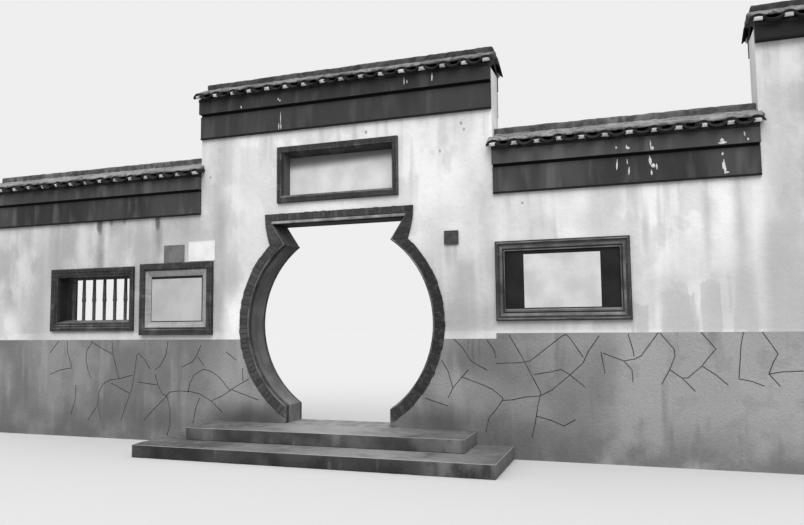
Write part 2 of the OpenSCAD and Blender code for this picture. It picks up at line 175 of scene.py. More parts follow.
class Finish(Nodes):
    """A material in the making."""

    def __init__(self, name, roughness=0.85):
        self.material = bpy.data.materials.new(name)
        self.material.use_nodes = True
        super().__init__(self.material.node_tree)
        self.shader = self.tree.nodes["Principled BSDF"].inputs
        self.shader["Roughness"].default_value = roughness
        self.shader["Specular IOR Level"].default_value = 0.25
        self.place = self.add("TexCoord").outputs["Object"]
        self.x, self.y, self.z = self.add("SeparateXYZ", {0: self.place}).outputs

    def noise(self, scale, detail, tall=1.0, at=(0, 0, 0), wide=1.0):
        """Cloudy pattern from 0 to 1; a small tall or wide draws it out upright or level."""
        spot = self.add("Mapping", {0: self.place, 1: at, 3: (wide, 1, tall)})
        return self.add("TexNoise", {"Vector": spot.outputs[0], "Scale": scale, "Detail": detail}).outputs[0]

    def between(self, value, low, high, to_low=0.0, to_high=1.0):
        """Moves a value from one range to another, smoothly and within bounds."""
        sockets = {"Value": value, "From Min": low, "From Max": high, "To Min": to_low, "To Max": to_high}
        return self.add("MapRange", sockets, interpolation_type="SMOOTHSTEP").outputs[0]

    def cloud(self, scale, detail, low, high, tall=1.0, at=(0, 0, 0), to=(0.0, 1.0)):
        return self.between(self.noise(scale, detail, tall, at), low, high, *to)

    def looks(self, axis):
        """How far the surface looks along an axis, from -1 to 1."""
        normal = self.add("NewGeometry").outputs["Normal"]
        return self.add("SeparateXYZ", {0: normal}).outputs[axis]

    def front(self):
        """1 on the front of the wall, 0 on its back."""
        return self.between(self.y, -0.05, -0.1)

    def base(self, dark, pale, *cloud, **bounds):
        """Starts the tone as a cloud of two greys."""
        self.tone = self.mix(self.cloud(*cloud, **bounds), grey(dark), grey(pale))
        return self.tone

    def cover(self, share, level, strength=1.0):
        """Paints a grey over the tone where share is 1."""
        if strength != 1.0:
            share = self.times(share, strength)
        self.tone = self.mix(share, self.tone, grey(level))

    def stain(self, level, strength, *cloud, **bounds):
        """Paints a grey over the tone in clouds."""
        self.cover(self.cloud(*cloud, **bounds), level, strength)

    def speckle(self, scale, detail, low, high, dim, lift):
        """Dims and lifts the tone in fine grains."""
        self.tone = self.times(self.tone, self.between(self.noise(scale, detail), low, high, dim, lift))

    def wobbled(self, scale, amount, tall=1.0):
        """The place, shaken by a cloud, for edges that wander."""
        spot = self.add("Mapping", {0: self.place, 3: (1, 1, tall)})
        cloud = self.add("TexNoise", {"Vector": spot.outputs[0], "Scale": scale, "Detail": 4.0})
        pull = self.add("VectorMath", {0: cloud.outputs[1], 1: (0.5, 0.5, 0.5)}, operation="SUBTRACT")
        pull = self.add("VectorMath", {0: pull.outputs[0], "Scale": amount}, operation="SCALE")
        return self.add("VectorMath", {0: self.place, 1: pull.outputs[0]}, operation="ADD").outputs[0]

    def spot(self, place, x, z, width, tall, edge, square):
        """1 inside an upright oval or square patch, 0 well outside it."""
        half = (2 / width, 0.0, 2 / tall)
        moved = self.add("Mapping", {0: place, 1: (-x * half[0], 0, -z * half[2]), 3: half}).outputs[0]
        if square:
            sides = self.add("VectorMath", {0: moved}, operation="ABSOLUTE").outputs[0]
            apart = self.add("SeparateXYZ", {0: sides})
            away = self.math("MAXIMUM", apart.outputs["X"], apart.outputs["Z"])
        else:
            away = self.add("VectorMath", {0: moved}, operation="LENGTH").outputs["Value"]
        return self.between(away, 1 + edge, 1 - edge)

    def marks(self, rows, place, edge, within=1.0, square=False):
        """Paints marks, each with x, z, width, height, grey and strength."""
        for x, z, width, tall, level, strength in rows:
            self.cover(self.times(self.spot(place, x, z, width, tall, edge, square), within), level, strength)

    def bump(self, value, depth, strength=0.6):
        made = self.add("Bump", {"Strength": strength, "Distance": depth, "Height": value})
        self.tree.links.new(made.outputs[0], self.shader["Normal"])

    def done(self):
        self.tree.links.new(self.tone, self.shader["Base Color"])
        return self.material


print("mid grey:", round(grey(128), 3))

# %% [markdown]
# The floor is a plain stage. It looks pale to the camera but throws back only as much light as trodden
# ground does, so the undersides of eaves and frames stay as dark as they are outdoors.

# %% Floor
FLOOR_SEEN = 0.59
FLOOR_BOUNCE = 0.34
FLOOR_SIZE = 160

bpy.ops.object.select_all(action="DESELECT")
bpy.ops.mesh.primitive_plane_add(size=FLOOR_SIZE)
floor = bpy.context.object
floor.name = "floor"
ground = Finish("pale floor", roughness=1.0)
ground.tone = ground.mix(ground.add("LightPath").outputs["Is Camera Ray"], FLOOR_BOUNCE, FLOOR_SEEN)
floor.data.materials.append(ground.done())
print("floor:", FLOOR_SIZE)

# %% [markdown]
# Limewash over plaster is never one white. It greys in drips under every ledge, in blotches where coats
# have worn through, and in ragged columns where damp climbs from the dado. Each bay's drips start at its
# own frieze, so the finish takes that height. Marks that stand out are listed one by one: middle x and z,
# width and height in metres, then a grey and a strength. Veils are the broad ones, and soft and firm
# marks differ in their edges.

# %% Marks on the plaster
DAMP_COLUMNS = [
    (3.6, 1.56, 0.17, 0.34, 184, 0.62), (3.96, 1.63, 0.33, 0.46, 184, 0.66),
    (3.99, 1.67, 0.15, 0.56, 184, 0.5), (4.29, 1.66, 0.19, 0.54, 184, 0.62),
    (4.32, 1.7, 0.12, 0.62, 190, 0.4), (4.6, 1.73, 0.21, 0.64, 184, 0.62),
    (4.64, 1.76, 0.12, 0.72, 190, 0.4), (5.5, 1.8, 1.44, 0.88, 186, 0.4),
    (5.58, 1.98, 1.56, 1.16, 184, 0.45), (-5.45, 1.62, 0.46, 0.52, 184, 0.5),
]
FIRM_MARKS = [
    (-3.7, 2.98, 0.09, 0.26, 84, 0.8), (-2.7, 2.98, 0.085, 0.26, 84, 0.8),
    (-3.49, 3.02, 0.06, 0.12, 110, 0.7), (-3.27, 3.03, 0.07, 0.14, 120, 0.6),
    (0.4, 3.93, 0.03, 0.05, 120, 0.7), (1.62, 3.92, 0.03, 0.04, 120, 0.7),
    (1.66, 3.84, 0.024, 0.04, 120, 0.7), (1.36, 3.6, 0.022, 0.05, 120, 0.7),
    (-1.86, 3.52, 0.026, 0.036, 120, 0.7), (2.34, 2.9, 0.028, 0.03, 120, 0.7),
    (1.44, 2.34, 0.09, 0.26, 170, 0.5), (1.52, 2.36, 0.05, 0.22, 170, 0.5),
]
SOFT_MARKS = [
    (-3.67, 2.74, 0.13, 0.8, 112, 0.6), (-2.68, 2.82, 0.11, 0.5, 116, 0.6),
    (-1.71, 2.4, 0.17, 2.4, 154, 0.55), (-4.46, 2.64, 0.15, 0.7, 160, 0.5),
    (-3.0, 2.8, 0.14, 0.6, 168, 0.45), (4.58, 2.56, 0.12, 0.9, 172, 0.55),
    (4.27, 2.58, 0.08, 0.96, 182, 0.5), (3.33, 2.9, 0.22, 0.34, 176, 0.5),
    (3.66, 2.54, 0.07, 0.5, 172, 0.5), (3.16, 2.72, 0.34, 0.6, 192, 0.5),
    (4.86, 2.26, 0.34, 0.5, 190, 0.6), (4.46, 2.46, 0.17, 1.2, 244, 0.6),
    (4.76, 2.34, 0.16, 1.3, 244, 0.6), (3.76, 1.72, 0.07, 0.6, 240, 0.35),
    (3.0, 2.74, 0.12, 0.6, 244, 0.4), (-5.3, 1.58, 0.26, 0.36, 246, 0.5),
    (-1.42, 1.6, 0.36, 0.56, 250, 0.6), (-1.22, 3.2, 0.34, 1.6, 242, 0.3),
    (-1.53, 2.18, 0.26, 0.5, 170, 0.65), (-4.7, 2.0, 0.38, 1.9, 182, 0.75),
    (-5.14, 1.95, 0.26, 0.9, 196, 0.45), (-3.98, 2.7, 0.26, 0.5, 186, 0.6),
    (-3.28, 2.6, 0.24, 0.4, 180, 0.5), (-2.1, 2.72, 0.64, 0.56, 182, 0.55),
    (4.9, 2.16, 0.24, 0.8, 182, 0.6), (1.36, 3.1, 0.5, 0.44, 238, 0.45),
    (1.42, 2.18, 0.22, 0.5, 228, 0.4), (4.56, 2.05, 0.3, 0.8, 196, 0.4),
    (3.8, 1.86, 0.34, 0.3, 196, 0.45), (1.58, 1.58, 0.44, 0.34, 174, 0.55),
    (1.72, 2.68, 0.24, 0.5, 196, 0.4), (3.05, 2.64, 0.34, 0.26, 196, 0.45),
    (2.68, 2.86, 0.22, 0.34, 240, 0.5), (-4.0, 2.7, 0.2, 0.5, 226, 0.5),
    (-3.4, 2.72, 0.4, 0.8, 166, 0.55), (-2.4, 2.86, 0.7, 0.6, 158, 0.55),
    (-4.84, 1.74, 0.46, 0.9, 160, 0.4), (4.98, 1.86, 0.52, 1.1, 176, 0.45),
    (1.62, 1.58, 0.56, 0.36, 156, 0.4), (4.46, 1.84, 0.42, 0.5, 172, 0.35),
]
# Veils: broad grey patches. The one over the whole left wing is painted shade of trees.
VEILS_AND_TREE_SHADE = [
    (1.62, 1.85, 1.1, 1.2, 162, 0.72), (1.92, 2.9, 0.6, 1.2, 186, 0.6), (4.35, 2.0, 1.2, 0.8, 200, 0.5),
    (-5.05, 2.2, 0.8, 1.3, 164, 0.6), (-3.9, 2.2, 4.4, 2.2, 158, 0.8), (4.7, 1.66, 2.8, 0.8, 190, 0.75),
    (5.6, 2.9, 1.3, 3.4, 168, 0.8), (-1.8, 3.2, 0.9, 1.7, 176, 0.65), (2.75, 1.52, 1.3, 0.22, 160, 0.15),
]
print("marks:", len(DAMP_COLUMNS + FIRM_MARKS + SOFT_MARKS + VEILS_AND_TREE_SHADE))

# %% Lime plaster
DADO_TOP = 1.43


def near_bays(marks, spans):
    """The marks that touch one of the stretches of wall, each from a low x to a high x."""
    return [
        mark for mark in marks
        if any(low - mark[2] < mark[0] < high + mark[2] for low, high in spans)
    ]


def lime_plaster(name, ledge, spans):
    """Old limewash below a ledge at the given height, on the given stretches of wall."""
    wash = Finish(name, roughness=0.92)
    wash.base(214, 238, 1.1, 6.0, 0.40, 0.60, tall=0.7)
    wash.stain(192, 0.42, 2.3, 6.0, 0.53, 0.60, tall=0.7, at=(4, 0, 1))
    front = wash.front()
    cloudy = wash.cloud(2.8, 6.0, 0.36, 0.60, tall=0.6, at=(2, 6, 0), to=(0.35, 1.0))
    # Veils on the front, among them the painted tree shade over the left wing.
    wash.marks(near_bays(VEILS_AND_TREE_SHADE, spans), wash.wobbled(1.4, 0.45), 0.5, wash.times(front, cloudy))
    below_ledge = wash.between(wash.z, ledge - 0.9, ledge, 0.25, 1.25)
    wash.cover(wash.times(wash.cloud(7.0, 4.0, 0.50, 0.66, tall=0.05), below_ledge), 178, 0.37)
    wash.stain(242, 0.35, 3.6, 4.0, 0.50, 0.68, tall=0.06, at=(7, 0, 0))
    climbing = wash.noise(3.4, 5.0, tall=0.16, at=(3, 1, 2))
    climbing = wash.math("ADD", climbing, wash.between(wash.z, 1.95, 1.38, 0.0, 0.20))
    wash.cover(wash.between(climbing, 0.61, 0.67), 190, 0.40)
    # Painted highlight: a pale line just above the dado's top edge.
    wash.cover(wash.between(wash.z, DADO_TOP + 0.025, DADO_TOP, 0.0, 0.40), 236)
    wash.marks(near_bays(DAMP_COLUMNS, spans), wash.wobbled(9.0, 0.30, tall=0.1), 0.10, front, square=True)
    shaken = wash.wobbled(5.0, 0.05)
    wash.marks(near_bays(SOFT_MARKS, spans), shaken, 0.75, front)
    wash.marks(near_bays(FIRM_MARKS, spans), shaken, 0.45, front)
    wash.speckle(60.0, 4.0, 0.2, 0.8, 0.96, 1.02)
    wash.bump(wash.noise(14.0, 8.0), 0.010)
    return wash.done()


# %% [markdown]
# The dado is a grey cement render with a sandy grain. It is darkest near the ground, where rain splashes
# it, and paler on the right wing. Rain has washed pale and dark runs down it, and soot-dark threads hang
# under its top edge.

# %% Dado render
DADO_MARKS = [
    (1.25, 0.36, 0.9, 0.34, 70, 0.7), (-1.25, 0.3, 1.0, 0.4, 66, 0.75),
    (-1.48, 1.02, 0.44, 0.84, 166, 0.5), (1.41, 0.83, 0.46, 0.34, 164, 0.5),
    (-2.08, 0.9, 0.34, 1.0, 104, 0.45), (2.92, 0.6, 0.6, 0.7, 108, 0.45), (2.32, 0.22, 1.2, 0.5, 80, 0.5),
    (3.18, 1.05, 0.3, 0.8, 104, 0.45), (-2.95, 0.34, 1.3, 0.36, 84, 0.5),
    (1.85, 0.75, 0.6, 0.4, 150, 0.4), (1.72, 1.2, 0.03, 0.26, 84, 0.5),
    (1.8, 1.24, 0.024, 0.22, 88, 0.45), (1.66, 1.26, 0.02, 0.18, 92, 0.4),
]


def dado_render():
    coat = Finish("dado render", roughness=0.95)
    coat.base(114, 140, 1.3, 6.0, 0.34, 0.68)
    coat.cover(coat.between(coat.x, 2.3, 3.6), 168, 0.7)
    coat.stain(108, 0.20, 4.5, 6.0, 0.52, 0.62, at=(2, 0, 5))
    coat.stain(100, 0.35, 5.0, 5.0, 0.54, 0.66, tall=0.15, at=(1, 3, 0))
    coat.stain(170, 0.24, 4.0, 5.0, 0.56, 0.66, tall=0.15, at=(5, 3, 0))
    wet = coat.times(coat.between(coat.z, 0.62, 0.0), coat.cloud(2.2, 5.0, 0.3, 0.6, at=(0, 4, 0)))
    coat.cover(wet, 84, 0.65)
    coat.marks(DADO_MARKS, coat.wobbled(3.0, 0.12), 0.7, coat.front())
    coat.speckle(90.0, 4.0, 0.25, 0.75, 0.90, 1.06)
    coat.bump(coat.noise(38.0, 8.0), 0.010)
    return coat.done()


def line_dirt():
    soot_and_shade = Finish("dirt in the lines", roughness=1.0)
    soot_and_shade.base(46, 92, 8.0, 3.0, 0.3, 0.7)
    return soot_and_shade.done()


print("dado marks:", len(DADO_MARKS))

# %% [markdown]
# The friezes carry a dark wash, streaked from top to bottom by rain. The courses are told apart by height:
# from the wings' upper course up the wash is lifted paler, as painted light against the eaves' shade, and
# the centre's upper course is darkened as painted shade under its eaves. The centre's and the left wing's
# friezes are darker, and what looks down is painted near black as shade.

# %% Frieze wash
WING_COURSE = 3.34
CENTRE_FOOT = 3.70
CENTRE_COURSE = 4.34
LEFT_WING_X = -1.85


def frieze_wash(name, shade=0.0):
    """Dark wash; shade is how far the eaves blacken it."""
    wash = Finish(name, roughness=0.8)
    wash.base(50, 74, 1.6, 5.0, 0.36, 0.64, tall=0.4)
    # Painted light: from the wings' upper course up, the wash is lifted paler against the eaves' shade.
    wash.cover(wash.between(wash.z, WING_COURSE, WING_COURSE + 0.04, 0.0, 0.30), 100)
    wash.cover(wash.between(wash.x, LEFT_WING_X, LEFT_WING_X - 0.30, 0.0, 0.28), 38)
    centre = wash.between(wash.z, CENTRE_FOOT, CENTRE_FOOT + 0.2)
    wash.cover(centre, 46, 0.65)
    # Painted shade: the centre's upper course is darkened under its eaves.
    wash.cover(wash.between(wash.z, CENTRE_COURSE, CENTRE_COURSE + 0.04, 0.0, 0.30), 36)
    pale = wash.cloud(6.0, 2.0, 0.50, 0.70, tall=0.2, at=(5, 0, 0))
    wash.cover(wash.times(pale, wash.mix(centre, 0.42, 0.22)), 108)
    wash.cover(shade, 22)
    wash.stain(40, 0.5, 4.0, 2.0, 0.48, 0.70, tall=0.2, at=(0, 2, 0))
    # Painted shade: what looks down is made near black.
    wash.cover(wash.between(wash.looks("Z"), -0.6, -0.9), 20)
    wash.bump(wash.noise(25.0, 6.0), 0.006)
    return wash.done()


print("courses meet at:", WING_COURSE, CENTRE_COURSE)

# %% [markdown]
# Fired clay, brick, stone, timber and mortar are mixed the same way: a base of two greys, then one or two
# marks that tell what the stuff is. Random Per Island gives every brick and tile its own shade.

# %% Brick, tile, mortar, stone and timber


def fired_clay(name, dark, pale, spots, right_darker=0.0, shade_below=False):
    """Each piece gets its own grey; a share darkens those right of the gate, and a flag paints shade on what
    looks down.
    """
    clay = Finish(name, roughness=0.82)
    piece = clay.add("NewGeometry").outputs["Random Per Island"]
    clay.tone = clay.mix(piece, grey(dark), grey(pale))
    if right_darker:
        clay.cover(clay.between(clay.x, 0.3, 1.3, 0.0, right_darker), dark * 0.55)
    clay.stain(pale + 28, spots, 22.0, 6.0, 0.5, 0.7)
    clay.speckle(120.0, 3.0, 0.2, 0.8, 0.86, 1.1)
    # Painted shade on what looks down.
    if shade_below:
        clay.cover(clay.between(clay.looks("Z"), -0.6, -0.8), 18)
    clay.bump(clay.noise(70.0, 6.0), 0.004)
    return clay.done()


def mortar(name, dark, pale, stain, lit_crest=None):
    """Lime or cement in two greys with dirty patches; the last grey, if given, is a painted highlight on what
    looks up.
    """
    lime = Finish(name, roughness=0.95)
    lime.base(dark, pale, 5.0, 6.0, 0.3, 0.7)
    lime.stain(stain, 0.7, 13.0, 6.0, 0.48, 0.62, tall=0.6, at=(3, 3, 0))
    if lit_crest:
        # Painted highlight on the faces that look up.
        lime.cover(lime.between(lime.looks("Z"), 0.75, 0.95, 0.0, 0.7), lit_crest)
    lime.bump(lime.noise(45.0, 8.0), 0.012)
    return lime.done()


LOWER_RISE = 0.15
TRODDEN = [
    (0.05, 0.3, 1.7, 0.1, 160, 0.7), (0.9, 0.15, 1.6, 0.1, 160, 0.6), (-0.5, 0.15, 0.9, 0.1, 160, 0.3),
]


def step_stone():
    """Treads paler than risers, partly trodden wear and partly painted light; risers paler at their right
    ends; painted light on faces that look right and a painted highlight on the nosings.
    """
    stone = Finish("step stone", roughness=0.88)
    up = stone.looks("Z")
    stone.base(82, 112, 3.0, 6.0, 0.3, 0.7)
    stone.stain(134, 0.5, 7.0, 5.0, 0.55, 0.7, at=(2, 2, 2))
    stone.marks(TRODDEN, stone.wobbled(2.0, 0.30), 0.8)
    tread = stone.tone
    low_rise = stone.base(44, 68, 2.5, 6.0, 0.35, 0.65)
    high_rise = stone.base(58, 92, 2.5, 6.0, 0.35, 0.65, at=(1, 0, 4))
    upper = stone.between(stone.z, LOWER_RISE - 0.004, LOWER_RISE + 0.002)
    stone.tone = stone.mix(upper, low_rise, high_rise)
    stone.stain(130, 0.35, 6.0, 5.0, 0.58, 0.72, tall=0.3, at=(0, 7, 1))
    right_end = stone.between(stone.x, 1.30, 1.62, 0.0, 0.75)
    stone.cover(stone.times(stone.cloud(5.0, 4.0, 0.35, 0.60, tall=0.4, at=(6, 1, 0)), right_end), 120)
    # Painted light on the faces that look right.
    stone.cover(stone.between(stone.looks("X"), 0.5, 0.8, 0.0, 0.75), 114)
    # Treads and risers by which way a face looks: the treads' paler grey is partly trodden wear, partly
    # painted light.
    stone.tone = stone.mix(stone.between(up, 0.3, 0.8), stone.tone, tread)
    # Painted highlight along the rounded nosings.
    stone.cover(stone.times(stone.between(up, 0.25, 0.45), stone.between(up, 0.97, 0.90)), 166, 0.6)
    stone.speckle(80.0, 4.0, 0.2, 0.8, 0.88, 1.08)
    stone.bump(stone.noise(40.0, 8.0), 0.010)
    return stone.done()


def timber(name, dark, pale, scuffs=0.4, soot_and_shade=0.0):
    """Weathered wood, paler where it looks up, with painted light on the inner left side of the tablet's
    niche and, when asked, painted shade in the window's lining.
    """
    wood = Finish(name, roughness=0.6)
    along = wood.noise(12.0, 5.0, tall=3.0, wide=0.25)
    upright = wood.noise(12.0, 5.0, tall=0.25, wide=3.0)
    grain = wood.mix(0.5, along, upright)
    wood.tone = wood.mix(wood.between(grain, 0.35, 0.65), grey(dark), grey(pale))
    wood.stain(pale + 28, scuffs, 5.0, 6.0, 0.54, 0.66, at=(1, 1, 9))
    looks_up = wood.between(wood.looks("Z"), 0.6, 0.9, 0.0, 0.65)
    wood.cover(wood.times(looks_up, wood.cloud(6.0, 4.0, 0.35, 0.6, at=(4, 1, 0), to=(0.3, 1.0))), 132)
    # Painted light on the tablet niche's inner faces that look right.
    niche = wood.times(wood.between(wood.y, -0.20, -0.185), wood.between(wood.looks("X"), 0.5, 0.8, 0.0, 0.5))
    wood.cover(wood.times(niche, wood.between(wood.z, 3.0, 3.2)), 108)
    if soot_and_shade:
        # Painted shade on the window's lining behind its front edge, below the head.
        inside = wood.between(wood.y, -0.17, -0.12, 0.0, soot_and_shade)
        wood.cover(wood.times(inside, wood.between(wood.z, 2.8, 2.6)), 12)
    wood.bump(grain, 0.003)
    return wood.done()


def smooth_coat(name, dark, pale, scale=2.2, rough=0.8):
    """Plain finish with soft clouds, for fillets, beads, sheets and plates."""
    coat = Finish(name, roughness=rough)
    coat.base(dark, pale, scale, 6.0, 0.3, 0.7)
    coat.speckle(50.0, 3.0, 0.2, 0.8, 0.96, 1.03)
    coat.bump(coat.noise(30.0, 5.0), 0.003, 0.4)
    return coat.done()


def tablet_panel():
    """Pale panel, shaded under the niche's top and more so at the left."""
    coat = Finish("tablet panel", roughness=0.8)
    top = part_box("name_tablet_panel")[1].z
    coat.base(208, 232, 3.0, 6.0, 0.3, 0.7)
    height = coat.math("SUBTRACT", coat.z, coat.times(coat.x, 0.04))
    coat.cover(coat.between(height, top - 0.23, top - 0.11, 0.0, 0.74), 40)
    coat.bump(coat.noise(30.0, 5.0), 0.003, 0.4)
    return coat.done()


def reveal_render():
    """Lining of the opening: dark and smooth, with painted light near the sill and painted shade at the neck.
    """
    coat = Finish("reveal render", roughness=0.8)
    coat.base(78, 108, 2.2, 6.0, 0.3, 0.7)
    coat.stain(66, 0.4, 9.0, 5.0, 0.52, 0.66, tall=0.25)
    # Painted light on the lower lining.
    low = coat.between(coat.z, 0.95, 0.35, 0.0, 0.50)
    coat.cover(coat.times(low, coat.cloud(5.0, 5.0, 0.35, 0.6, at=(3, 0, 0), to=(0.4, 1.0))), 134)
    # Painted shade high in the neck.
    coat.cover(coat.between(coat.z, 2.42, 2.62, 0.0, 0.65), 34)
    coat.bump(coat.noise(30.0, 5.0), 0.003, 0.4)
    return coat.done()


FINISHES = {
    "dado": dado_render(),
    "line": line_dirt(),
    "frieze": frieze_wash("dark frieze wash"),
    "shaded_frieze": frieze_wash("frieze in shade", 0.72),
    "brick": fired_clay("gate brick", 56, 76, 0.30, 0.75),
    # Roof tiles: painted shade on what looks down.
    "tile": fired_clay("roof tile", 20, 46, 0.3, shade_below=True),
    "reveal": reveal_render(),
    "stone": step_stone(),
    "timber": timber("dark timber", 38, 60, soot_and_shade=0.7),
    # Frame edges: wear with a painted highlight.
    "worn_lit_edges": timber("worn timber edges with painted highlights", 52, 96, scuffs=1.0),
    "bar": timber("window bars", 58, 84),
    # The casing is greyed as painted shade of trees over the left wing.
    "casing": timber("pale casing", 136, 160, scuffs=0.2),
    "panel": tablet_panel(),
}
# Columns: name, dark and pale grey, grey of the dirty patches, and for some a painted highlight on what looks
# up.
MORTARS = {
    "joint": ("brick joints", 50, 66, 84),
    # The bed's near-black greys are painted shade under the eaves.
    "bed": ("bed under the tiles in painted shade", 34, 52, 60),
    "lime": ("lime mortar", 88, 152, 70, 142),
    "grey_lime": ("old lime mortar", 80, 138, 56, 130),
    "plug": ("lime in the tile ends", 190, 232, 160),
    "dark_ridge": ("centre ridge", 54, 84, 44, 112),
    "pale_ridge": ("rendered ridge", 74, 112, 58, 140),
}
COATS = {
    "drip": ("shadow fillet", 16, 26, 6.0),
    "underside": ("lintel underside", 34, 48),
    "sill": ("gate sill", 112, 146, 6.0),
    "bead": ("lime bead", 62, 112, 6.0),
    "lip": ("lip bar", 118, 168, 6.0),
    # Painted highlights for the right board frame's bands.
    "highlit_timber": ("timber with painted highlights", 58, 122, 4.0, 0.5),
    "ledge": ("sheet ledge", 92, 126, 4.0, 0.5),
    # The backing's near black is dark paint and painted shade in the recess.
    "backing": ("dark backing", 22, 34, 5.0),
    "sheet": ("notice sheet", 190, 216, 3.0, 0.7),
    # The left sheet is greyed as painted shade of trees over the left wing.
    "shaded_glazed_sheet": ("glazed sheet in painted tree shade", 170, 190, 3.0, 0.7),
    "dark_plate": ("dark plate", 96, 116, 8.0, 0.55),
    "pale_plate": ("white plate", 222, 236, 8.0, 0.55),
    "metal": ("wall box paint", 52, 74, 14.0, 0.5),
    "splash": ("lime splash", 190, 226, 20.0),
}
FINISHES.update({key: mortar(*given) for key, given in MORTARS.items()})
FINISHES.update({key: smooth_coat(*given) for key, given in COATS.items()})
print("finishes:", len(FINISHES))

# %% [markdown]
# The walls, the linings and the panels already have their right shape in the packed model, so they stay
# as they are and only get a finish. Each bay's plaster is told where its own ledge is, so that its drips
# start there.

# %% Finishes on the packed pieces


def foot_of(node):
    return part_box(node)[0].z


def span(node, last=None):
    """Stretch of wall from one node's low x to its own or another node's high x."""
    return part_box(node)[0].x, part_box(last or node)[1].x


WINGS = [span("left_wing_wall"), span("right_wing_wall")]
CENTRE = [span("centre_wall_left", "centre_wall_right")]
END_BAY = [span("end_bay_wall")]
wing_plaster = lime_plaster("wing limewash", foot_of("left_wing_lower_frieze"), WINGS)
centre_plaster = lime_plaster("centre limewash", foot_of("centre_lower_frieze"), CENTRE)
end_plaster = lime_plaster("end bay limewash", foot_of("end_bay_frieze"), END_BAY)
CARRIED_OVER = (
    (wing_plaster, ("left_wing_wall", "right_wing_wall")),
    (centre_plaster, ("centre_wall_left", "centre_wall_right", "centre_wall_head")),
    (end_plaster, ("end_bay_wall",)),
    (FINISHES["joint"], ("gate_surround_left", "gate_surround_right", "gate_lintel")),
    (FINISHES["underside"], ("lintel_core",)),
    (FINISHES["reveal"], ("gate_reveal_left", "gate_reveal_right")),
    (FINISHES["dado"], ("threshold_base",)),
    (FINISHES["panel"], ("name_tablet_panel",)),
    (FINISHES["casing"], ("left_board_panel",)),
    (FINISHES["backing"], ("right_board_panel",)),
    (FINISHES["frieze"], [name for name in nodes if name.endswith("frieze")]),
    (FINISHES["shaded_frieze"], ("end_bay_frieze",)),
)


def give_finish(piece, finish):
    """Puts one finish in every material slot of a piece."""
    if not piece.material_slots:
        piece.data.materials.append(finish)
    for place in piece.material_slots:
        place.material = finish


for finish, names in CARRIED_OVER:
    for name in names:
        give_finish(bpy.data.objects[name], finish)
print("finishes carried over:", len(CARRIED_OVER))

# %% [markdown]
# A few short helpers stand for the moves that are made by hand again and again: deselect, pick one
# object, go into edit mode, pick faces or edges by where they are, apply a modifier, round edges, and
# keep what is finished.

# %% Helpers for modelling


def deselect():
    if bpy.context.mode != "OBJECT":
        bpy.ops.object.mode_set(mode="OBJECT")
    bpy.ops.object.select_all(action="DESELECT")


def only(piece):
    deselect()
    piece.select_set(True)
    bpy.context.view_layer.objects.active = piece


@contextmanager
def editing(piece, kind="FACE", everything=False):
    """Edit mode on one piece with nothing or everything selected."""
    only(piece)
    bpy.ops.object.mode_set(mode="EDIT")
    bpy.ops.mesh.select_mode(type=kind)
    bpy.ops.mesh.select_all(action="SELECT" if everything else "DESELECT")
    yield
    bpy.ops.object.mode_set(mode="OBJECT")


def pick_faces(piece, test):
    """Selects the faces whose middle and normal pass the test."""
    mesh = bmesh.from_edit_mesh(piece.data)
    for face in mesh.faces:
        face.select_set(bool(test(face.calc_center_median(), face.normal)))
    bmesh.update_edit_mesh(piece.data)


def pick_edges(piece, test):
    """Selects the edges whose two ends pass the test."""
    mesh = bmesh.from_edit_mesh(piece.data)
    for edge in mesh.edges:
        edge.select_set(bool(test(edge.verts[0].co, edge.verts[1].co)))
    bmesh.update_edit_mesh(piece.data)


def place_in_mesh(piece):
    only(piece)
    bpy.ops.object.transform_apply(location=True, rotation=True, scale=True)


def face_outward(piece):
    with editing(piece, everything=True):
        bpy.ops.mesh.remove_doubles(threshold=0.00002)
        bpy.ops.mesh.normals_make_consistent(inside=False)


def modify(piece, kind, **settings):
    """Adds a modifier and applies it."""
    only(piece)
    change = piece.modifiers.new(kind.lower(), kind)
    for key, value in settings.items():
        setattr(change, key, value)
    bpy.ops.object.modifier_apply(modifier=change.name)


def bevel(piece, width, segments=2, angle=30, **settings):
    """Rounds the edges that turn by more than an angle in degrees."""
    settings.update(width=width, segments=segments, limit_method="ANGLE", angle_limit=math.radians(angle))
    modify(piece, "BEVEL", **settings)


def clouds(name, size):
    pattern = bpy.data.textures.new(name, "CLOUDS")
    pattern.noise_scale = size
    pattern.noise_depth = 2
    return pattern


def swell(piece, pattern, strength, middle=0.5):
    """Pushes the surface in and out after a cloud pattern."""
    modify(piece, "DISPLACE", texture=pattern, strength=strength, mid_level=middle, texture_coords="GLOBAL")


def smooth(piece, angle):
    """Smooth shading, but for edges that turn by more than an angle in degrees."""
    only(piece)
    bpy.ops.object.shade_smooth_by_angle(angle=math.radians(angle))


def block(name, low, high):
    """A box from corner to corner, its place in its mesh."""
    deselect()
    low = Vector(low)
    high = Vector(high)
    bpy.ops.mesh.primitive_cube_add(size=1, location=(low + high) / 2)
    piece = bpy.context.object
    piece.name = name
    piece.scale = high - low
    place_in_mesh(piece)
    return piece


def slab(name, outline, push):
    """A flat outline of points, filled and extruded along one way."""
    deselect()
    bpy.ops.mesh.primitive_circle_add(vertices=len(outline), fill_type="NGON")
    piece = bpy.context.object
    piece.name = name
    for corner, point in zip(piece.data.vertices, outline):
        corner.co = point
    with editing(piece, everything=True):
        bpy.ops.mesh.extrude_region_move(TRANSFORM_OT_translate={"value": push})
    place_in_mesh(piece)
    face_outward(piece)
    return piece


def joined(name, pieces):
    deselect()
    for piece in pieces:
        piece.select_set(True)
    bpy.context.view_layer.objects.active = pieces[0]
    if len(pieces) > 1:
        bpy.ops.object.join()
    pieces[0].name = name
    return pieces[0]


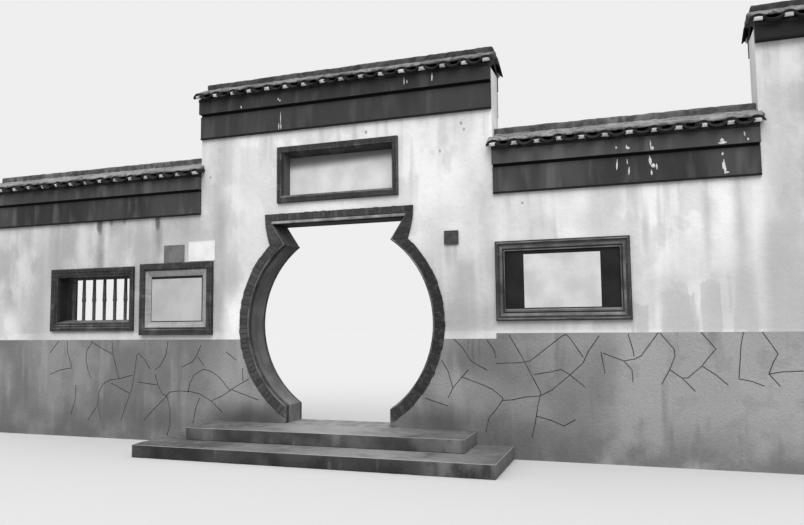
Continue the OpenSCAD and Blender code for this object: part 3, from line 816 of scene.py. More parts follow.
def repeat(name, model, places):
    """Copies a model to each place, each copy with its own mesh, and joins the copies."""
    copies = []
    for place in places:
        copy = model.copy()
        copy.data = model.data.copy()
        copy.data.transform(place)
        if place.to_3x3().determinant() < 0:
            copy.data.flip_normals()
        scene.collection.objects.link(copy)
        copies.append(copy)
    return joined(name, copies)


def done_with(*models):
    for model in models:
        bpy.data.objects.remove(model)


TO_BACK = Matrix.Scale(-1, 4, (0, 1, 0))


def two_finishes(piece, main, second):
    piece.data.materials.clear()
    piece.data.materials.append(FINISHES[main])
    piece.data.materials.append(FINISHES[second])


def keep(piece, name, finish, slot, *replaced):
    """Names a finished piece, gives it its finish, and says what it rides on and stands for."""
    piece.name = name
    piece.data.name = name
    if finish:
        give_finish(piece, FINISHES[finish])
    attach(piece, "root")
    if replaced:
        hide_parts(*replaced)
    return piece


print("helpers ready")

# %% [markdown]
# The wall stands with its middle on the y axis line: its front looks towards smaller y. The main faces
# are read off the packed pieces once, so that every piece below can be set against them.

# %% Faces to build against
FACE = -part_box("left_wing_wall")[0].y
DADO_FACE = -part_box("left_wing_dado")[0].y
RING_FACE = -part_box("gate_surround_right")[0].y
SILL_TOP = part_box("threshold_slab")[1].z
LIP_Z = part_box("gate_lintel")[0].z
SURROUND_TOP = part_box("gate_lintel")[1].z
LIP_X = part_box("gate_lintel")[1].x
SURROUND_X = LIP_X + 0.097
RING_OUTER = 1.384
RING_INNER = 1.243
JAMB_X = 0.695
JAMB_H = 0.214
NECK_X = 0.720
BOWL_Z = SILL_TOP + JAMB_H + math.sqrt(RING_INNER ** 2 - JAMB_X ** 2)
NECK_Z = BOWL_Z + math.sqrt(RING_INNER ** 2 - NECK_X ** 2)
print("faces:", round(FACE, 3), round(DADO_FACE, 3), round(RING_FACE, 3), "bowl:", round(BOWL_Z, 3))

# %% [markdown]
# The dado's render is scored with lines like the joints of crazy paving. A score is a small thing, but it
# catches dirt and reads as black from the path. Each line was read off the photograph as pixels, is cast
# onto the dado's face and cut with a thin chisel shape, so the lines are real grooves. The back is scored
# alike, as in a mirror.

# %% Scored lines, left of the gate, in pixels
LEFT_LINES = [
    [(59, 341), (52, 350), (50, 353)], [(67.3, 341), (67.5, 352), (71.8, 367)],
    [(93, 341), (87, 350), (86, 360), (88, 370), (91, 378)], [(91, 341.5), (103, 349), (112, 354)],
    [(112, 341), (113, 354), (116, 367), (119, 379)], [(50, 374.5), (60, 370), (71, 368)],
    [(76, 385), (75, 400), (71, 414)],
    [(133, 375), (120, 378.5), (110, 380), (103, 384), (99, 392), (97.5, 405), (88, 420)],
    [(137, 354), (135, 370), (132, 388), (127, 402), (121, 420)], [(111, 383), (129, 393)],
    [(138, 353), (145, 360), (150, 369)], [(138, 382), (157, 385)],
    [(168, 341), (166, 355), (160, 366), (155, 370)], [(201, 345), (196, 357), (192, 362), (182, 367)],
    [(155, 374), (158, 385), (162, 394), (167, 396)], [(204, 369), (194, 375), (190, 383), (188, 392)],
    [(204, 369), (212, 372), (220, 378), (230, 391)],
    [(166, 396), (170, 392), (180, 391), (190, 391.5), (200, 394), (211, 401), (222, 412)],
    [(167, 396), (155, 408), (144, 420)], [(167, 396), (170, 410), (170, 425), (167, 435)],
    [(200, 398), (196, 407), (193, 423)], [(211, 401), (222, 396), (235, 387), (249, 379)],
    [(230, 389), (240, 393), (258, 400)], [(198, 357), (204, 366)], [(242.5, 368), (243, 381)],
    [(226, 352), (236, 360)], [(98.5, 407), (101, 421)],
]

# %% Scored lines, right of the gate, in pixels
RIGHT_LINES = [
    [(441.5, 360), (448, 371), (453, 388)], [(448, 398), (453, 388), (462, 377), (468, 370)],
    [(453, 338), (462, 347), (469, 358), (472, 362), (487, 370)],
    [(462, 377), (478, 383), (492, 389), (503, 398), (502, 401), (495, 411), (489, 418), (486, 432)],
    [(502, 400.5), (512, 400), (525, 397), (540, 396), (552, 390), (570, 375),
     (583, 363), (588, 352), (599, 336)],
    [(509, 335), (522, 357), (530, 372), (541, 393), (538, 405), (535, 425), (532, 438)],
    [(487, 340), (494, 350), (496, 358)],
    [(496, 363.5), (523, 362.5), (530, 361), (548, 347), (562, 336), (566, 334.5), (570, 338), (583, 357)],
    [(534, 374.5), (550, 372), (561, 369.5), (570, 375), (585, 387)],
    [(536, 416), (550, 420), (564, 426), (575, 420)], [(628, 334), (633, 350), (634, 356)],
    [(601, 352), (605, 373)], [(603, 353), (613, 357), (624, 361), (632, 370), (633, 382)],
    [(624, 361), (635, 359), (641.5, 355.5), (658.3, 332.5)], [(425, 398), (436, 402), (448, 406)],
    [(660, 333), (674, 349), (675, 356), (670, 369), (662, 384)], [(670, 370), (682, 378), (695, 391)],
    [(682, 378), (688, 378), (702, 366), (709, 357), (716, 349), (700, 331)],
    [(702, 366), (716, 375), (728, 385)], [(744, 329), (741, 345), (739, 379), (752, 381.5), (764, 386)],
    [(760, 329), (772, 345), (778, 354), (773, 363), (769, 374), (780, 386)],
    [(769, 374), (782, 372), (803, 371)],
]

# %% Cut the lines into the dado
SCORE_W = 0.010
SCORE_DEEP = 0.006

chisel = block("chisel", (0, -SCORE_DEEP, -SCORE_W / 2), (1, SCORE_DEEP, SCORE_W / 2))


def score_places(lines):
    """One matrix for each stretch of each line, on the front and on the back."""
    places = []
    for line in lines:
        spots = [seen_at(px, py, -DADO_FACE) for px, py in line]
        for start, end in zip(spots, spots[1:]):
            along = end - start
            turn = Matrix.Rotation(-math.atan2(along.z, along.x), 4, "Y")
            stretch = Matrix.Scale(along.length + SCORE_W / 2, 4, (1, 0, 0))
            place = Matrix.Translation(start) @ turn @ stretch
            places.append(place)
            places.append(TO_BACK @ place)
    return places


def reaches(place, low, high):
    """Whether a stretch of line comes within a dado's length."""
    ends = [(place @ Vector((share, 0, 0))).x for share in (0, 1)]
    return max(ends) > low.x and min(ends) < high.x


all_scores = score_places(LEFT_LINES + RIGHT_LINES)
for node in ("left_wing_dado", "centre_dado_left", "centre_dado_right", "right_wing_dado", "end_bay_dado"):
    low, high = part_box(node)
    coat = bpy.data.objects[node].copy()
    coat.data = coat.data.copy()
    two_finishes(coat, "dado", "line")
    scene.collection.objects.link(coat)
    face_outward(coat)
    near = [place for place in all_scores if reaches(place, low, high)]
    if near:
        scores = repeat("scores", chisel, near)
        two_finishes(scores, "dado", "line")
        for side in scores.data.polygons:
            side.material_index = 1
        modify(coat, "BOOLEAN", operation="DIFFERENCE", object=scores, solver="EXACT", use_self=True)
        done_with(scores)
    keep(coat, "scored_" + node, None, "dado_render", node)
    print(coat.name, "faces:", len(coat.data.polygons), "scores:", len(near))
done_with(chisel)

# %% [markdown]
# Around the opening stands a ring of dark bricks on edge, one brick deep. Such a ring is laid over a
# wooden form, so the inner edge is true while the outer ends are uneven. One wedge is modelled, worn at
# its edges, and then copied round the bowl with a little change of length, depth and turn each time. The
# packed surround behind it shows only between the bricks, as joints.

# %% One wedge brick
RING_STEP = math.radians(2.74)
JOINT = 0.005
BEAD_W = 0.024
WEDGE_IN = RING_INNER + BEAD_W
WEDGE_OUT = RING_OUTER
BRICK_PROUD = 0.006
BRICK_IN = 0.030

random.seed(11)
inner_w = WEDGE_IN * RING_STEP - JOINT
outer_w = WEDGE_OUT * RING_STEP - JOINT
wedge = block("wedge", (0, -BRICK_PROUD, -inner_w / 2), (1, BRICK_IN, inner_w / 2))
with editing(wedge):
    pick_faces(wedge, lambda middle, normal: normal.x > 0.9)
    bpy.ops.transform.resize(value=(1, 1, outer_w / inner_w), center_override=(1, 0, 0))
wedge.scale = (WEDGE_OUT - WEDGE_IN, 1, 1)
place_in_mesh(wedge)
bevel(wedge, 0.005)
print("wedge:", [round(size, 3) for size in wedge.dimensions])


FOOT_TURN = math.acos(JAMB_X / RING_INNER)
TOP_TURN = math.atan2(NECK_Z - BOWL_Z, NECK_X)
SPARE = 2


def ring_places(side, face):
    """Places of one side's wedges, with a few to spare at both ends; side is -1 or 1, face -1 in front."""
    places = []
    count = int((TOP_TURN + FOOT_TURN) / RING_STEP)
    for index in range(-SPARE, count + SPARE):
        turn = -FOOT_TURN + index * RING_STEP
        longer = random.uniform(0.93, 1.07)
        proud = random.uniform(-0.0025, 0.0025)
        place = Matrix.Translation((0, -RING_FACE + proud, BOWL_Z))
        place = place @ Matrix.Rotation(-turn + random.uniform(-0.002, 0.002), 4, "Y")
        place = place @ Matrix.Translation((WEDGE_IN, 0, 0)) @ Matrix.Scale(longer, 4, (1, 0, 0))
        places.append(Matrix.Diagonal((side, -face, 1, 1)) @ place)
    return places


def trim(piece, at, away):
    """Cuts off what lies beyond a point along a direction, and closes the cut."""
    with editing(piece, everything=True):
        bpy.ops.mesh.bisect(plane_co=at, plane_no=away, use_fill=True, clear_outer=True)


rings = []
for side in (-1, 1):
    for face in (-1, 1):
        ring = repeat("ring", wedge, ring_places(side, face))
        trim(ring, (0, 0, NECK_Z - 0.002), (0, 0, 1))
        trim(ring, (side * (JAMB_X + BEAD_W), 0, 0), (-side, 0, 0))
        rings.append(ring)
done_with(wedge)
print("ring quarters:", len(rings))

# %% [markdown]
# Over the bowl two short piers of the same brick lean out to the lip. They are laid flat, so each course
# is cut from a strip between the leaning inner edge and the curved outer edge.

# %% Neck courses
NECK_CURVE = 1.170
COURSE_H = 0.0675
lean = (LIP_X - NECK_X) / (LIP_Z - NECK_Z)


def neck_inner(z):
    return min(LIP_X, NECK_X + (z - NECK_Z) * lean) if z < LIP_Z else LIP_X


def neck_outer(z):
    return SURROUND_X - NECK_CURVE + math.sqrt(NECK_CURVE ** 2 - (SURROUND_TOP - z) ** 2)


def neck_course(side, face, low, high):
    """One flat course of the pier, between two heights."""
    front = -RING_FACE - BRICK_PROUD + random.uniform(-0.001, 0.001)
    inner_gap = BEAD_W * 0.6 if low < LIP_Z else 0.0
    heights = [low, (low + high) / 2, high]
    inner = [(neck_inner(z) + inner_gap, z) for z in heights]
    outer = [(neck_outer(z) + random.uniform(-0.004, 0.004), z) for z in heights]
    outline = [(side * x, front * -face, z) for x, z in inner + outer[::-1]]
    course = slab("course", outline, (0, -(BRICK_PROUD + BRICK_IN) * face, 0))
    bevel(course, 0.0035, 2, 40)
    return course


courses = []
course_count = round((SURROUND_TOP - NECK_Z) / COURSE_H)
course_h = (SURROUND_TOP - NECK_Z) / course_count
for side in (-1, 1):
    for face in (-1, 1):
        for index in range(course_count):
            low = NECK_Z + index * course_h
            courses.append(neck_course(side, face, low + 0.001, low + course_h - 0.001))
print("neck courses:", len(courses))

# %% [markdown]
# The lip is closed by bricks set upright, a soldier course. A light render bar runs under it, with a dark
# gap between.

# %% Soldier course and its bar
SOLDIER_PITCH = 0.059
BAR_H = 0.032
BAR_GAP = 0.009

soldier_count = round(2 * LIP_X / SOLDIER_PITCH)
soldier_w = 2 * LIP_X / soldier_count
soldier_low = LIP_Z + BAR_H + BAR_GAP
soldier = block("soldier", (-soldier_w / 2 + 0.002, -BRICK_PROUD, 0), (soldier_w / 2 - 0.002, BRICK_IN, 1))
soldier.scale = (1, 1, SURROUND_TOP - soldier_low)
place_in_mesh(soldier)
bevel(soldier, 0.004)


def soldier_places(face):
    places = []
    for index in range(soldier_count):
        x = -LIP_X + (index + 0.5) * soldier_w
        place = Matrix.Translation((x, -RING_FACE + random.uniform(-0.003, 0.002), soldier_low))
        place = place @ Matrix.Scale(random.uniform(0.94, 1.06), 4, (0, 0, 1))
        places.append(Matrix.Diagonal((1, -face, 1, 1)) @ place)
    return places


rows = [repeat("row", soldier, soldier_places(face)) for face in (-1, 1)]
done_with(soldier)
bricks = joined("gate_bricks", rings + courses + rows)
keep(bricks, "gate_bricks", "brick", "gate_brick")
print("gate bricks:", len(bricks.data.polygons), "faces")

bars = []
for face in (-1, 1):
    bar = block("bar", (-LIP_X, -0.006, LIP_Z - 0.002), (LIP_X, 0.02, LIP_Z + BAR_H))
    bar.data.transform(Matrix.Translation((0, -RING_FACE, 0)))
    if face > 0:
        bar.data.transform(TO_BACK)
        bar.data.flip_normals()
    bevel(bar, 0.006, 3)
    bars.append(bar)
keep(joined("lip_bars", bars), "lip_bars", "lip", "reveal_render")

# %% [markdown]
# A rounded bead of lime follows the inner edge of the opening and hides the joint between brick and
# lining. A small circle is set at the foot of the bowl and spun up round the bowl's centre; its lower end
# is then pushed down to the sill as the jamb's bead. A thin cylinder goes on up the leaning neck.

# %% Bead round the opening
BEAD_R = 0.012
bead_at = RING_INNER + BEAD_R


def bead(side, face):
    """Bead of one side: a ring of points spun round the bowl, then drawn down the jamb."""
    deselect()
    start = Vector((bead_at * math.cos(FOOT_TURN), -RING_FACE, BOWL_Z - bead_at * math.sin(FOOT_TURN)))
    bpy.ops.mesh.primitive_circle_add(vertices=10, radius=BEAD_R, location=start, fill_type="NGON")
    piece = bpy.context.object
    place_in_mesh(piece)
    with editing(piece, everything=True):
        bpy.ops.transform.rotate(value=-FOOT_TURN, orient_axis="Y", center_override=start)
        bpy.ops.mesh.spin(
            steps=56, angle=FOOT_TURN + TOP_TURN, center=(0, -RING_FACE, BOWL_Z), axis=(0, 1, 0),
            use_auto_merge=False,
        )
        pick_faces(piece, lambda middle, normal: middle.z < start.z + 0.004)
        bpy.ops.mesh.extrude_region_move(TRANSFORM_OT_translate={"value": (0, 0, SILL_TOP - start.z)})
    place_in_mesh(piece)
    kink = Vector((NECK_X + BEAD_R, -RING_FACE, NECK_Z))
    lip = Vector((LIP_X + BEAD_R, -RING_FACE, LIP_Z + BAR_H / 2))
    up = lip - kink
    deselect()
    bpy.ops.mesh.primitive_cylinder_add(
        vertices=10, radius=BEAD_R * 0.8, depth=up.length, location=(kink + lip) / 2,
        rotation=(0, math.atan2(up.x, up.z), 0),
    )
    neck = bpy.context.object
    place_in_mesh(neck)
    piece = joined("bead", [piece, neck])
    piece.data.transform(Matrix.Diagonal((side, -face, 1, 1)))
    face_outward(piece)
    smooth(piece, 50)
    return piece


beads = [bead(side, face) for side in (-1, 1) for face in (-1, 1)]
lime_bead = keep(joined("gate_bead", beads), "gate_bead", "bead", "reveal_render")
print("bead:", len(lime_bead.data.polygons), "faces")

# %% [markdown]
# The steps are old cement: still square, but with a rounded nosing and shallow dents. A block is cut
# along all three ways into cells of a few centimetres, its outer edges are beveled, and cloud patterns
# then push the surface in and out by some millimetres.

# %% Worn steps and sill
WEAR = 0.008
CELL = 0.030

wear_pattern = clouds("wear", 0.22)
chip_pattern = clouds("chips", 0.045)


def worn_block(name, low, high):
    piece = block(name, low, high)
    bevel(piece, 0.011, 3)
    size = high - low
    for axis in range(3):
        cuts = int(size[axis] / CELL)
        with editing(piece, "EDGE"):
            pick_edges(piece, lambda one, two: abs(one[axis] - two[axis]) > 0.9 * size[axis])
            bpy.ops.mesh.subdivide(number_cuts=cuts)
    swell(piece, wear_pattern, WEAR, 0.55)
    swell(piece, chip_pattern, WEAR * 0.45, 0.6)
    smooth(piece, 25)
    return piece


for node, finish in (("lower_step", "stone"), ("upper_step", "stone"), ("threshold_slab", "sill")):
    worn = worn_block("worn_" + node, *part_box(node))
    keep(worn, "worn_" + node, finish, "step_concrete", node)
    print(worn.name, "faces:", len(worn.data.polygons))

# %% [markdown]
# Each bay wears a small tiled roof: troughs of upturned tiles with half-round covers over their joints,
# bedded in lime. The pan, the cover and the lime plug in a cover's mouth are modelled once, lying along
# y, and are then laid up each slope.

# %% One pan, one cover, one plug
SLOPE = math.radians(30)
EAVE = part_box("centre_coping")[1].y
PAN_CHORD = 0.196
PAN_SAG = 0.040
TILE_T = 0.013
TILE_L = 0.200
COVER_CHORD = 0.174
COVER_SAG = 0.050
COVER_BACK = 0.034
PLUG_W = 0.088
PLUG_H = 0.044
PLUG_SUNK = 0.008


def half_pipe(name, radius, middle_z, keep_above, cut_z):
    """An open pipe along y, of which only the part above or below cut_z is kept and given its thickness."""
    deselect()
    bpy.ops.mesh.primitive_cylinder_add(
        vertices=36, radius=radius, depth=TILE_L, end_fill_type="NOTHING",
        location=(0, TILE_L / 2, middle_z), rotation=(math.radians(90), 0, 0),
    )
    piece = bpy.context.object
    place_in_mesh(piece)
    with editing(piece, everything=True):
        bpy.ops.mesh.bisect(
            plane_co=(0, 0, cut_z), plane_no=(0, 0, 1), clear_inner=keep_above, clear_outer=not keep_above
        )
    modify(piece, "SOLIDIFY", thickness=TILE_T, offset=-1)
    bevel(piece, 0.003, 1, 60)
    face_outward(piece)
    smooth(piece, 40)
    piece.name = name
    return piece


def arc_radius(chord, sag):
    return (chord ** 2 / 4 + sag ** 2) / (2 * sag)


pan_radius = arc_radius(PAN_CHORD, PAN_SAG)
pan = half_pipe("pan", pan_radius, pan_radius, False, PAN_SAG)
cover_radius = arc_radius(COVER_CHORD, COVER_SAG)
cover = half_pipe("cover", cover_radius, COVER_SAG - cover_radius, True, 0)

plug = block("plug", (-PLUG_W / 2, 0.004, -PLUG_SUNK), (PLUG_W / 2, 0.060, PLUG_H - PLUG_SUNK))
with editing(plug):
    pick_faces(plug, lambda middle, normal: normal.y < -0.9)
    bpy.ops.mesh.inset(thickness=0.009)
    bpy.ops.transform.translate(value=(0, -0.007, 0))
bevel(plug, 0.006, 2, 20)
print("pan, cover, plug faces:", [len(piece.data.polygons) for piece in (pan, cover, plug)])

# %% [markdown]
# A bay's roof is then laid from its packed coping. Seen from below, only the ends of the tiles show: the
# slopes are floated over with lime, level with the crowns of the covers, up to a ridge band. So there is
# a bed, one course of tiles at each eave, the lime slopes with their lumps, and the ridge. Covers shift
# and tilt a little, because they are laid by eye.

# %% Lay the roofs
TILE_PITCH = 0.260
VERGE = 0.090
RIDGE_HALF = 0.080
RIDGE_H = 0.062
APEX = 0.2513
LIME_EDGE = (0.314, 0.114)
LIME_TOP = (0.082, 0.228)
COVER_BASE = 0.027
COVER_TILT = -0.14
PAN_TILT = -0.03
UNDER_PAN = 0.015
LIME_T = 0.030
LIME_VOXEL = 0.014
UNDER_EAVE = 0.085


def up_the_slope(x, top, back, tilt):
    """Matrix that lays a tile made along y on the front or back slope, its foot at the eave."""
    turn = Matrix.Rotation(math.pi, 4, "Z") if back else Matrix.Identity(4)
    foot = Matrix.Translation((-x if back else x, -EAVE, top))
    return turn @ foot @ Matrix.Rotation(SLOPE + tilt, 4, "X")


def tile_places(low, high, top):
    """Places of pans, covers and plugs over one bay."""
    pans, covers, plugs = [], [], []
    count = round((high - low - 2 * VERGE) / TILE_PITCH)
    pitch = (high - low - 2 * VERGE) / count
    for back in (False, True):
        for index in range(count + 1):
            x = low + VERGE + index * pitch
            shift = random.uniform(-0.012, 0.012) if 0 < index < count else 0.0
            along = COVER_BACK + random.uniform(-0.010, 0.006)
            lay = Matrix.Translation((shift, along, COVER_BASE + random.uniform(-0.006, 0.004)))
            lay = lay @ Matrix.Rotation(random.uniform(-0.05, 0.05), 4, "Y")
            covers.append(up_the_slope(x, top, back, COVER_TILT) @ lay)
            plugs.append(covers[-1])
            slip = (random.uniform(-0.008, 0.008), random.uniform(0.008, 0.016), UNDER_PAN)
            covers.append(covers[-1] @ Matrix.Translation(slip))
            if index < count:
                for lift, set_back in ((0.0, 0.012), (UNDER_PAN, 0.0)):
                    slip = random.uniform(-0.010, 0.010)
                    lay = Matrix.Translation((slip, set_back + random.uniform(-0.008, 0.004), lift - 0.004))
                    lay = lay @ Matrix.Rotation(random.uniform(-0.03, 0.03), 4, "Z")
                    pans.append(up_the_slope(x + pitch / 2, top, back, PAN_TILT) @ lay)
    return pans, covers, plugs


lump_pattern = clouds("lumps", 0.07)
swell_pattern = clouds("swells", 0.22)


def profile_run(name, points, low, high, up):
    """A closed outline in y and z, run along the wall from low to high and lifted."""
    run = slab(name, [(low, y, z) for y, z in points], (high - low, 0, 0))
    run.data.transform(Matrix.Translation((0, 0, up)))
    return run


def lumpy(piece, lumps, swells):
    modify(piece, "REMESH", mode="VOXEL", voxel_size=LIME_VOXEL, use_smooth_shade=True)
    swell(piece, swell_pattern, swells)
    swell(piece, lump_pattern, lumps)


def both_slopes(points):
    """An outline's front half and the same half seen in a mirror, for the back."""
    return points + [(-y, z) for y, z in points[::-1]]


def roof(bay, left, right, lime_finish, ridge_finish, ridge_slot):
    """Tiles, bed, lime and ridge of one bay, whose wall runs from left to right."""
    low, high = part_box(bay + "_coping")
    top = low.z
    pans, covers, plugs = tile_places(low.x, high.x, top)
    tiles = joined("tiles", [repeat("pans", pan, pans), repeat("covers", cover, covers)])
    keep(tiles, bay + "_tiles", "tile", "clay_tile", bay + "_coping", bay + "_ridge")
    keep(repeat("plugs", plug, plugs), bay + "_plugs", "plug", "lime_mortar")
    under = FACE + UNDER_EAVE
    rise = (EAVE - under) * math.tan(SLOPE)
    bed = profile_run("bed", both_slopes([(-under, 0), (-under, rise), (-0.02, 0.19)]), left, right, top)
    keep(bed, bay + "_bed", "bed", "lime_mortar")
    edge_y, edge_z = LIME_EDGE
    crest_y, crest_z = LIME_TOP
    outline = [(-edge_y, edge_z - LIME_T), (-edge_y, edge_z), (-crest_y, crest_z)]
    outline = both_slopes(outline) + [(0, crest_z - LIME_T)]
    lime = profile_run("lime", outline, low.x + 0.02, high.x - 0.02, top)
    lumpy(lime, 0.024, 0.014)
    keep(lime, bay + "_lime", lime_finish, "lime_mortar")
    crown = RIDGE_H - 0.014
    outline = both_slopes([(-RIDGE_HALF, -0.045), (-RIDGE_HALF, crown), (-RIDGE_HALF / 2, RIDGE_H)])
    ridge = profile_run("ridge", outline, left, right, top + APEX)
    lumpy(ridge, 0.012, 0.010)
    keep(ridge, bay + "_ridge_band", ridge_finish, ridge_slot)
    print(bay, "tiles:", len(covers) + len(pans), "lime faces:", len(lime.data.polygons))


CENTRE_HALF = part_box("centre_wall_head")[1].x
LEFT_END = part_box("left_wing_wall")[0].x
RIGHT_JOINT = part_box("right_wing_wall")[1].x
RIGHT_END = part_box("end_bay_wall")[1].x
PALE = ("lime", "pale_ridge", "lime_mortar")
DARK = ("grey_lime", "dark_ridge", "clay_tile")
roof("left_wing", LEFT_END, -CENTRE_HALF, *PALE)
roof("centre", -CENTRE_HALF, CENTRE_HALF, *DARK)
roof("right_wing", CENTRE_HALF, RIGHT_JOINT, *PALE)
roof("end_bay", RIGHT_JOINT, RIGHT_END, *DARK)
done_with(pan, cover, plug)

# %% [markdown]
# Two near-black lines run along each frieze, both painted shade: one in the groove between its courses,
# under the upper course, and a thin fillet at its foot, under the frieze's lower edge. Both are bars with
# rounded edges, on both faces of the wall. The end bay's frieze is one course, so it has only the fillet.

# %% Lines along the friezes
DRIP_H = 0.018
DRIP_OUT = 0.008
GROOVE_LOW = 0.308
GROOVE_H = 0.030
GROOVE_OUT = 0.010
BAR_T = 0.018


def line_bars(node, low_z, high_z, out):
    """Bars of a node's length on front and back; out is how far they stand from the middle of the wall."""
    low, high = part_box(node)
    bars = []
    for near, far in ((-out, BAR_T - out), (out - BAR_T, out)):
        bar = block("bar", (low.x, near, low.z + low_z), (high.x, far, low.z + high_z))
        bevel(bar, 0.003)
        bars.append(bar)
    return bars


for bay, frieze in (
    ("left_wing", "_lower_frieze"), ("centre", "_lower_frieze"), ("right_wing", "_lower_frieze"),
    ("end_bay", "_frieze"),
):
    bars = line_bars(bay + frieze, -0.004, DRIP_H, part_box(bay + frieze)[1].y + DRIP_OUT)
    if bay != "end_bay":
        bars += line_bars(bay + frieze, GROOVE_LOW, GROOVE_LOW + GROOVE_H, FACE + GROOVE_OUT)
    # Painted shade: near-black bars along the frieze.
    keep(joined("lines", bars), bay + "_lines", "drip", "frieze_render")
print("fillet and groove:", DRIP_H, GROOVE_H)

# %% [markdown]
# Window, boards and name tablet sit in moulded timber frames with mitred corners. Such a frame is one
# profile taken round a rectangle. The rectangle's outer edge is extruded once for each point of the
# profile: moved out from the wall and drawn in towards the middle, by more on the rails than on the sides
# where the rails are wider.

# %% A mitred frame


def mitred_frame(name, node, side_w, rail_w, profile, edge=0.004, worn="worn_lit_edges"):
    """Frame round a node's outline; the profile holds shares of the width and distances from the wall."""
    low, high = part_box(node)
    middle = (low + high) / 2
    middle.y = -FACE
    half_w = (high.x - low.x) / 2
    half_h = (high.z - low.z) / 2
    deselect()
    bpy.ops.mesh.primitive_plane_add(size=1, location=middle, rotation=(math.radians(90), 0, 0))
    piece = bpy.context.object
    piece.scale = (2 * half_w, 2 * half_h, 1)
    place_in_mesh(piece)
    with editing(piece, "EDGE", everything=True):
        bpy.ops.transform.translate(value=(0, -profile[0][1], 0))
        bpy.ops.mesh.delete(type="ONLY_FACE")
        bpy.ops.mesh.select_all(action="SELECT")
        was_w, was_h, was_out = half_w, half_h, profile[0][1]
        for share, out in profile[1:] + profile[:1]:
            now_w = half_w - share * side_w
            now_h = half_h - share * rail_w
            bpy.ops.mesh.extrude_edges_move(TRANSFORM_OT_translate={"value": (0, was_out - out, 0)})
            bpy.ops.transform.resize(value=(now_w / was_w, 1, now_h / was_h), center_override=middle)
            was_w, was_h, was_out = now_w, now_h, out
    face_outward(piece)
    two_finishes(piece, "timber", worn)
    # The rounded edges take the second finish: worn arrises with a painted highlight.
    bevel(piece, edge, 2, 35, material=1)
    piece.name = name
    return piece


def paint_highlights(piece, rail_out, all_out, half_h, mid_z):
    """Painted highlights: the second finish on gentle slopes, on the rails' flats at rail_out and on all
    flats at all_out.
    """

    def takes_highlight(middle, normal):
        out = -FACE - middle.y
        rail = abs(middle.z - mid_z) > half_h / 2
        at_flat = abs(out - all_out) < 0.001 or rail and abs(out - rail_out) < 0.001
        flat = normal.y < -0.99 and at_flat
        return flat or -0.99 < normal.y < -0.8

    with editing(piece):
        pick_faces(piece, takes_highlight)
        piece.active_material_index = 1
        bpy.ops.object.material_slot_assign()


# %% Frames of the tablet, the window and the boards
TABLET_SIDE = 0.085
TABLET_RAIL = 0.100
TABLET_OUT = 0.045
TABLET_DEEP = 0.135
WINDOW_SIDE = 0.088
WINDOW_RAIL = 0.118
WINDOW_OUT = 0.042
BOARD_OUT = 0.062
LEFT_SIDE = 0.090
LEFT_RAIL = 0.105
RIGHT_SIDE = 0.110
RIGHT_RAIL = 0.118
STEP_W = 0.026
STEP_D = 0.018


def stepped(width, out, steps, foot):
    """Profile that rises from the wall, lies flat, then steps back towards the opening."""
    points = [(0.0, 0.0), (0.0, out)]
    for step in range(steps, 0, -1):
        share = 1 - step * STEP_W / width
        points.append((share, out - (steps - step) * STEP_D))
        points.append((share, out - (steps - step + 1) * STEP_D))
    points.append((1.0, out - steps * STEP_D))
    points.append((1.0, foot))
    return points


tablet_profile = [(0.0, 0.0), (0.0, 0.039), (0.10, TABLET_OUT), (0.72, TABLET_OUT), (1.0, 0.005)]
tablet_profile += [(1.22, 0.003 - TABLET_DEEP), (0.85, -TABLET_DEEP), (0.85, -0.004), (0.4, -0.004)]
tablet = mitred_frame("tablet_moulding", "name_tablet_frame", TABLET_SIDE, TABLET_RAIL, tablet_profile)
keep(tablet, "tablet_moulding", None, "dark_timber", "name_tablet_frame")

left_profile = stepped(LEFT_SIDE, BOARD_OUT, 1, 0.0)
left_frame = mitred_frame("left", "left_board_frame", LEFT_SIDE, LEFT_RAIL, left_profile)
keep(left_frame, "left_board_moulding", None, "dark_timber", "left_board_frame")

BEAD_OUT = BOARD_OUT
INNER_OUT = 0.032
right_profile = [(0.0, 0.0), (0.0, 0.052), (0.13, 0.052), (0.15, BEAD_OUT), (0.25, BEAD_OUT), (0.28, 0.050)]
right_profile += [(0.50, 0.050), (0.52, 0.047), (0.74, 0.036), (0.76, 0.018), (0.87, 0.018)]
right_profile += [(0.89, INNER_OUT), (0.98, INNER_OUT), (1.0, 0.0)]
right_frame = mitred_frame(
    "right", "right_board_frame", RIGHT_SIDE, RIGHT_RAIL, right_profile, edge=0.0015, worn="highlit_timber"
)
low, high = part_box("right_board_frame")
# Painted highlights on the right frame's bands and gentle slopes.
paint_highlights(right_frame, BEAD_OUT, INNER_OUT, (high.z - low.z) / 2, (high.z + low.z) / 2)
keep(right_frame, "right_board_moulding", None, "dark_timber", "right_board_frame")

window_profile = stepped(WINDOW_SIDE, WINDOW_OUT, 2, -FACE)
front = mitred_frame("front", "window_frame", WINDOW_SIDE, WINDOW_RAIL, window_profile)
window = joined("window", [front, repeat("rear", front, [TO_BACK])])
keep(window, "window_moulding", None, "dark_timber", "window_frame")
for piece in (tablet, left_frame, right_frame, window):
    print(piece.name, [round(size, 3) for size in piece.dimensions])

# %% [markdown]
# The window is an unglazed hole with upright bars set just behind the middle of the wall, held by a rail
# at the head and a sloping sill. Each bar is round and drawn like a cane: it thickens towards a ring at
# half its height.

# %% Window bars, head rail and sill
BAR_COUNT = 7
BAR_PITCH = 0.186
BAR_R = 0.027
BAR_Y = 0.043
BAR_SHAPE = (
    (0.03, 0.78), (0.30, 0.88), (0.485, 1.02), (0.50, 1.20), (0.515, 1.0), (0.56, 0.86), (0.97, 0.84)
)
HEAD_HALF = 0.035

low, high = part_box("window_frame")
open_low = Vector((low.x + WINDOW_SIDE, 0, low.z + WINDOW_RAIL))
open_high = Vector((high.x - WINDOW_SIDE, 0, high.z - WINDOW_RAIL))
window_mid = (open_low.x + open_high.x) / 2
open_h = open_high.z - open_low.z

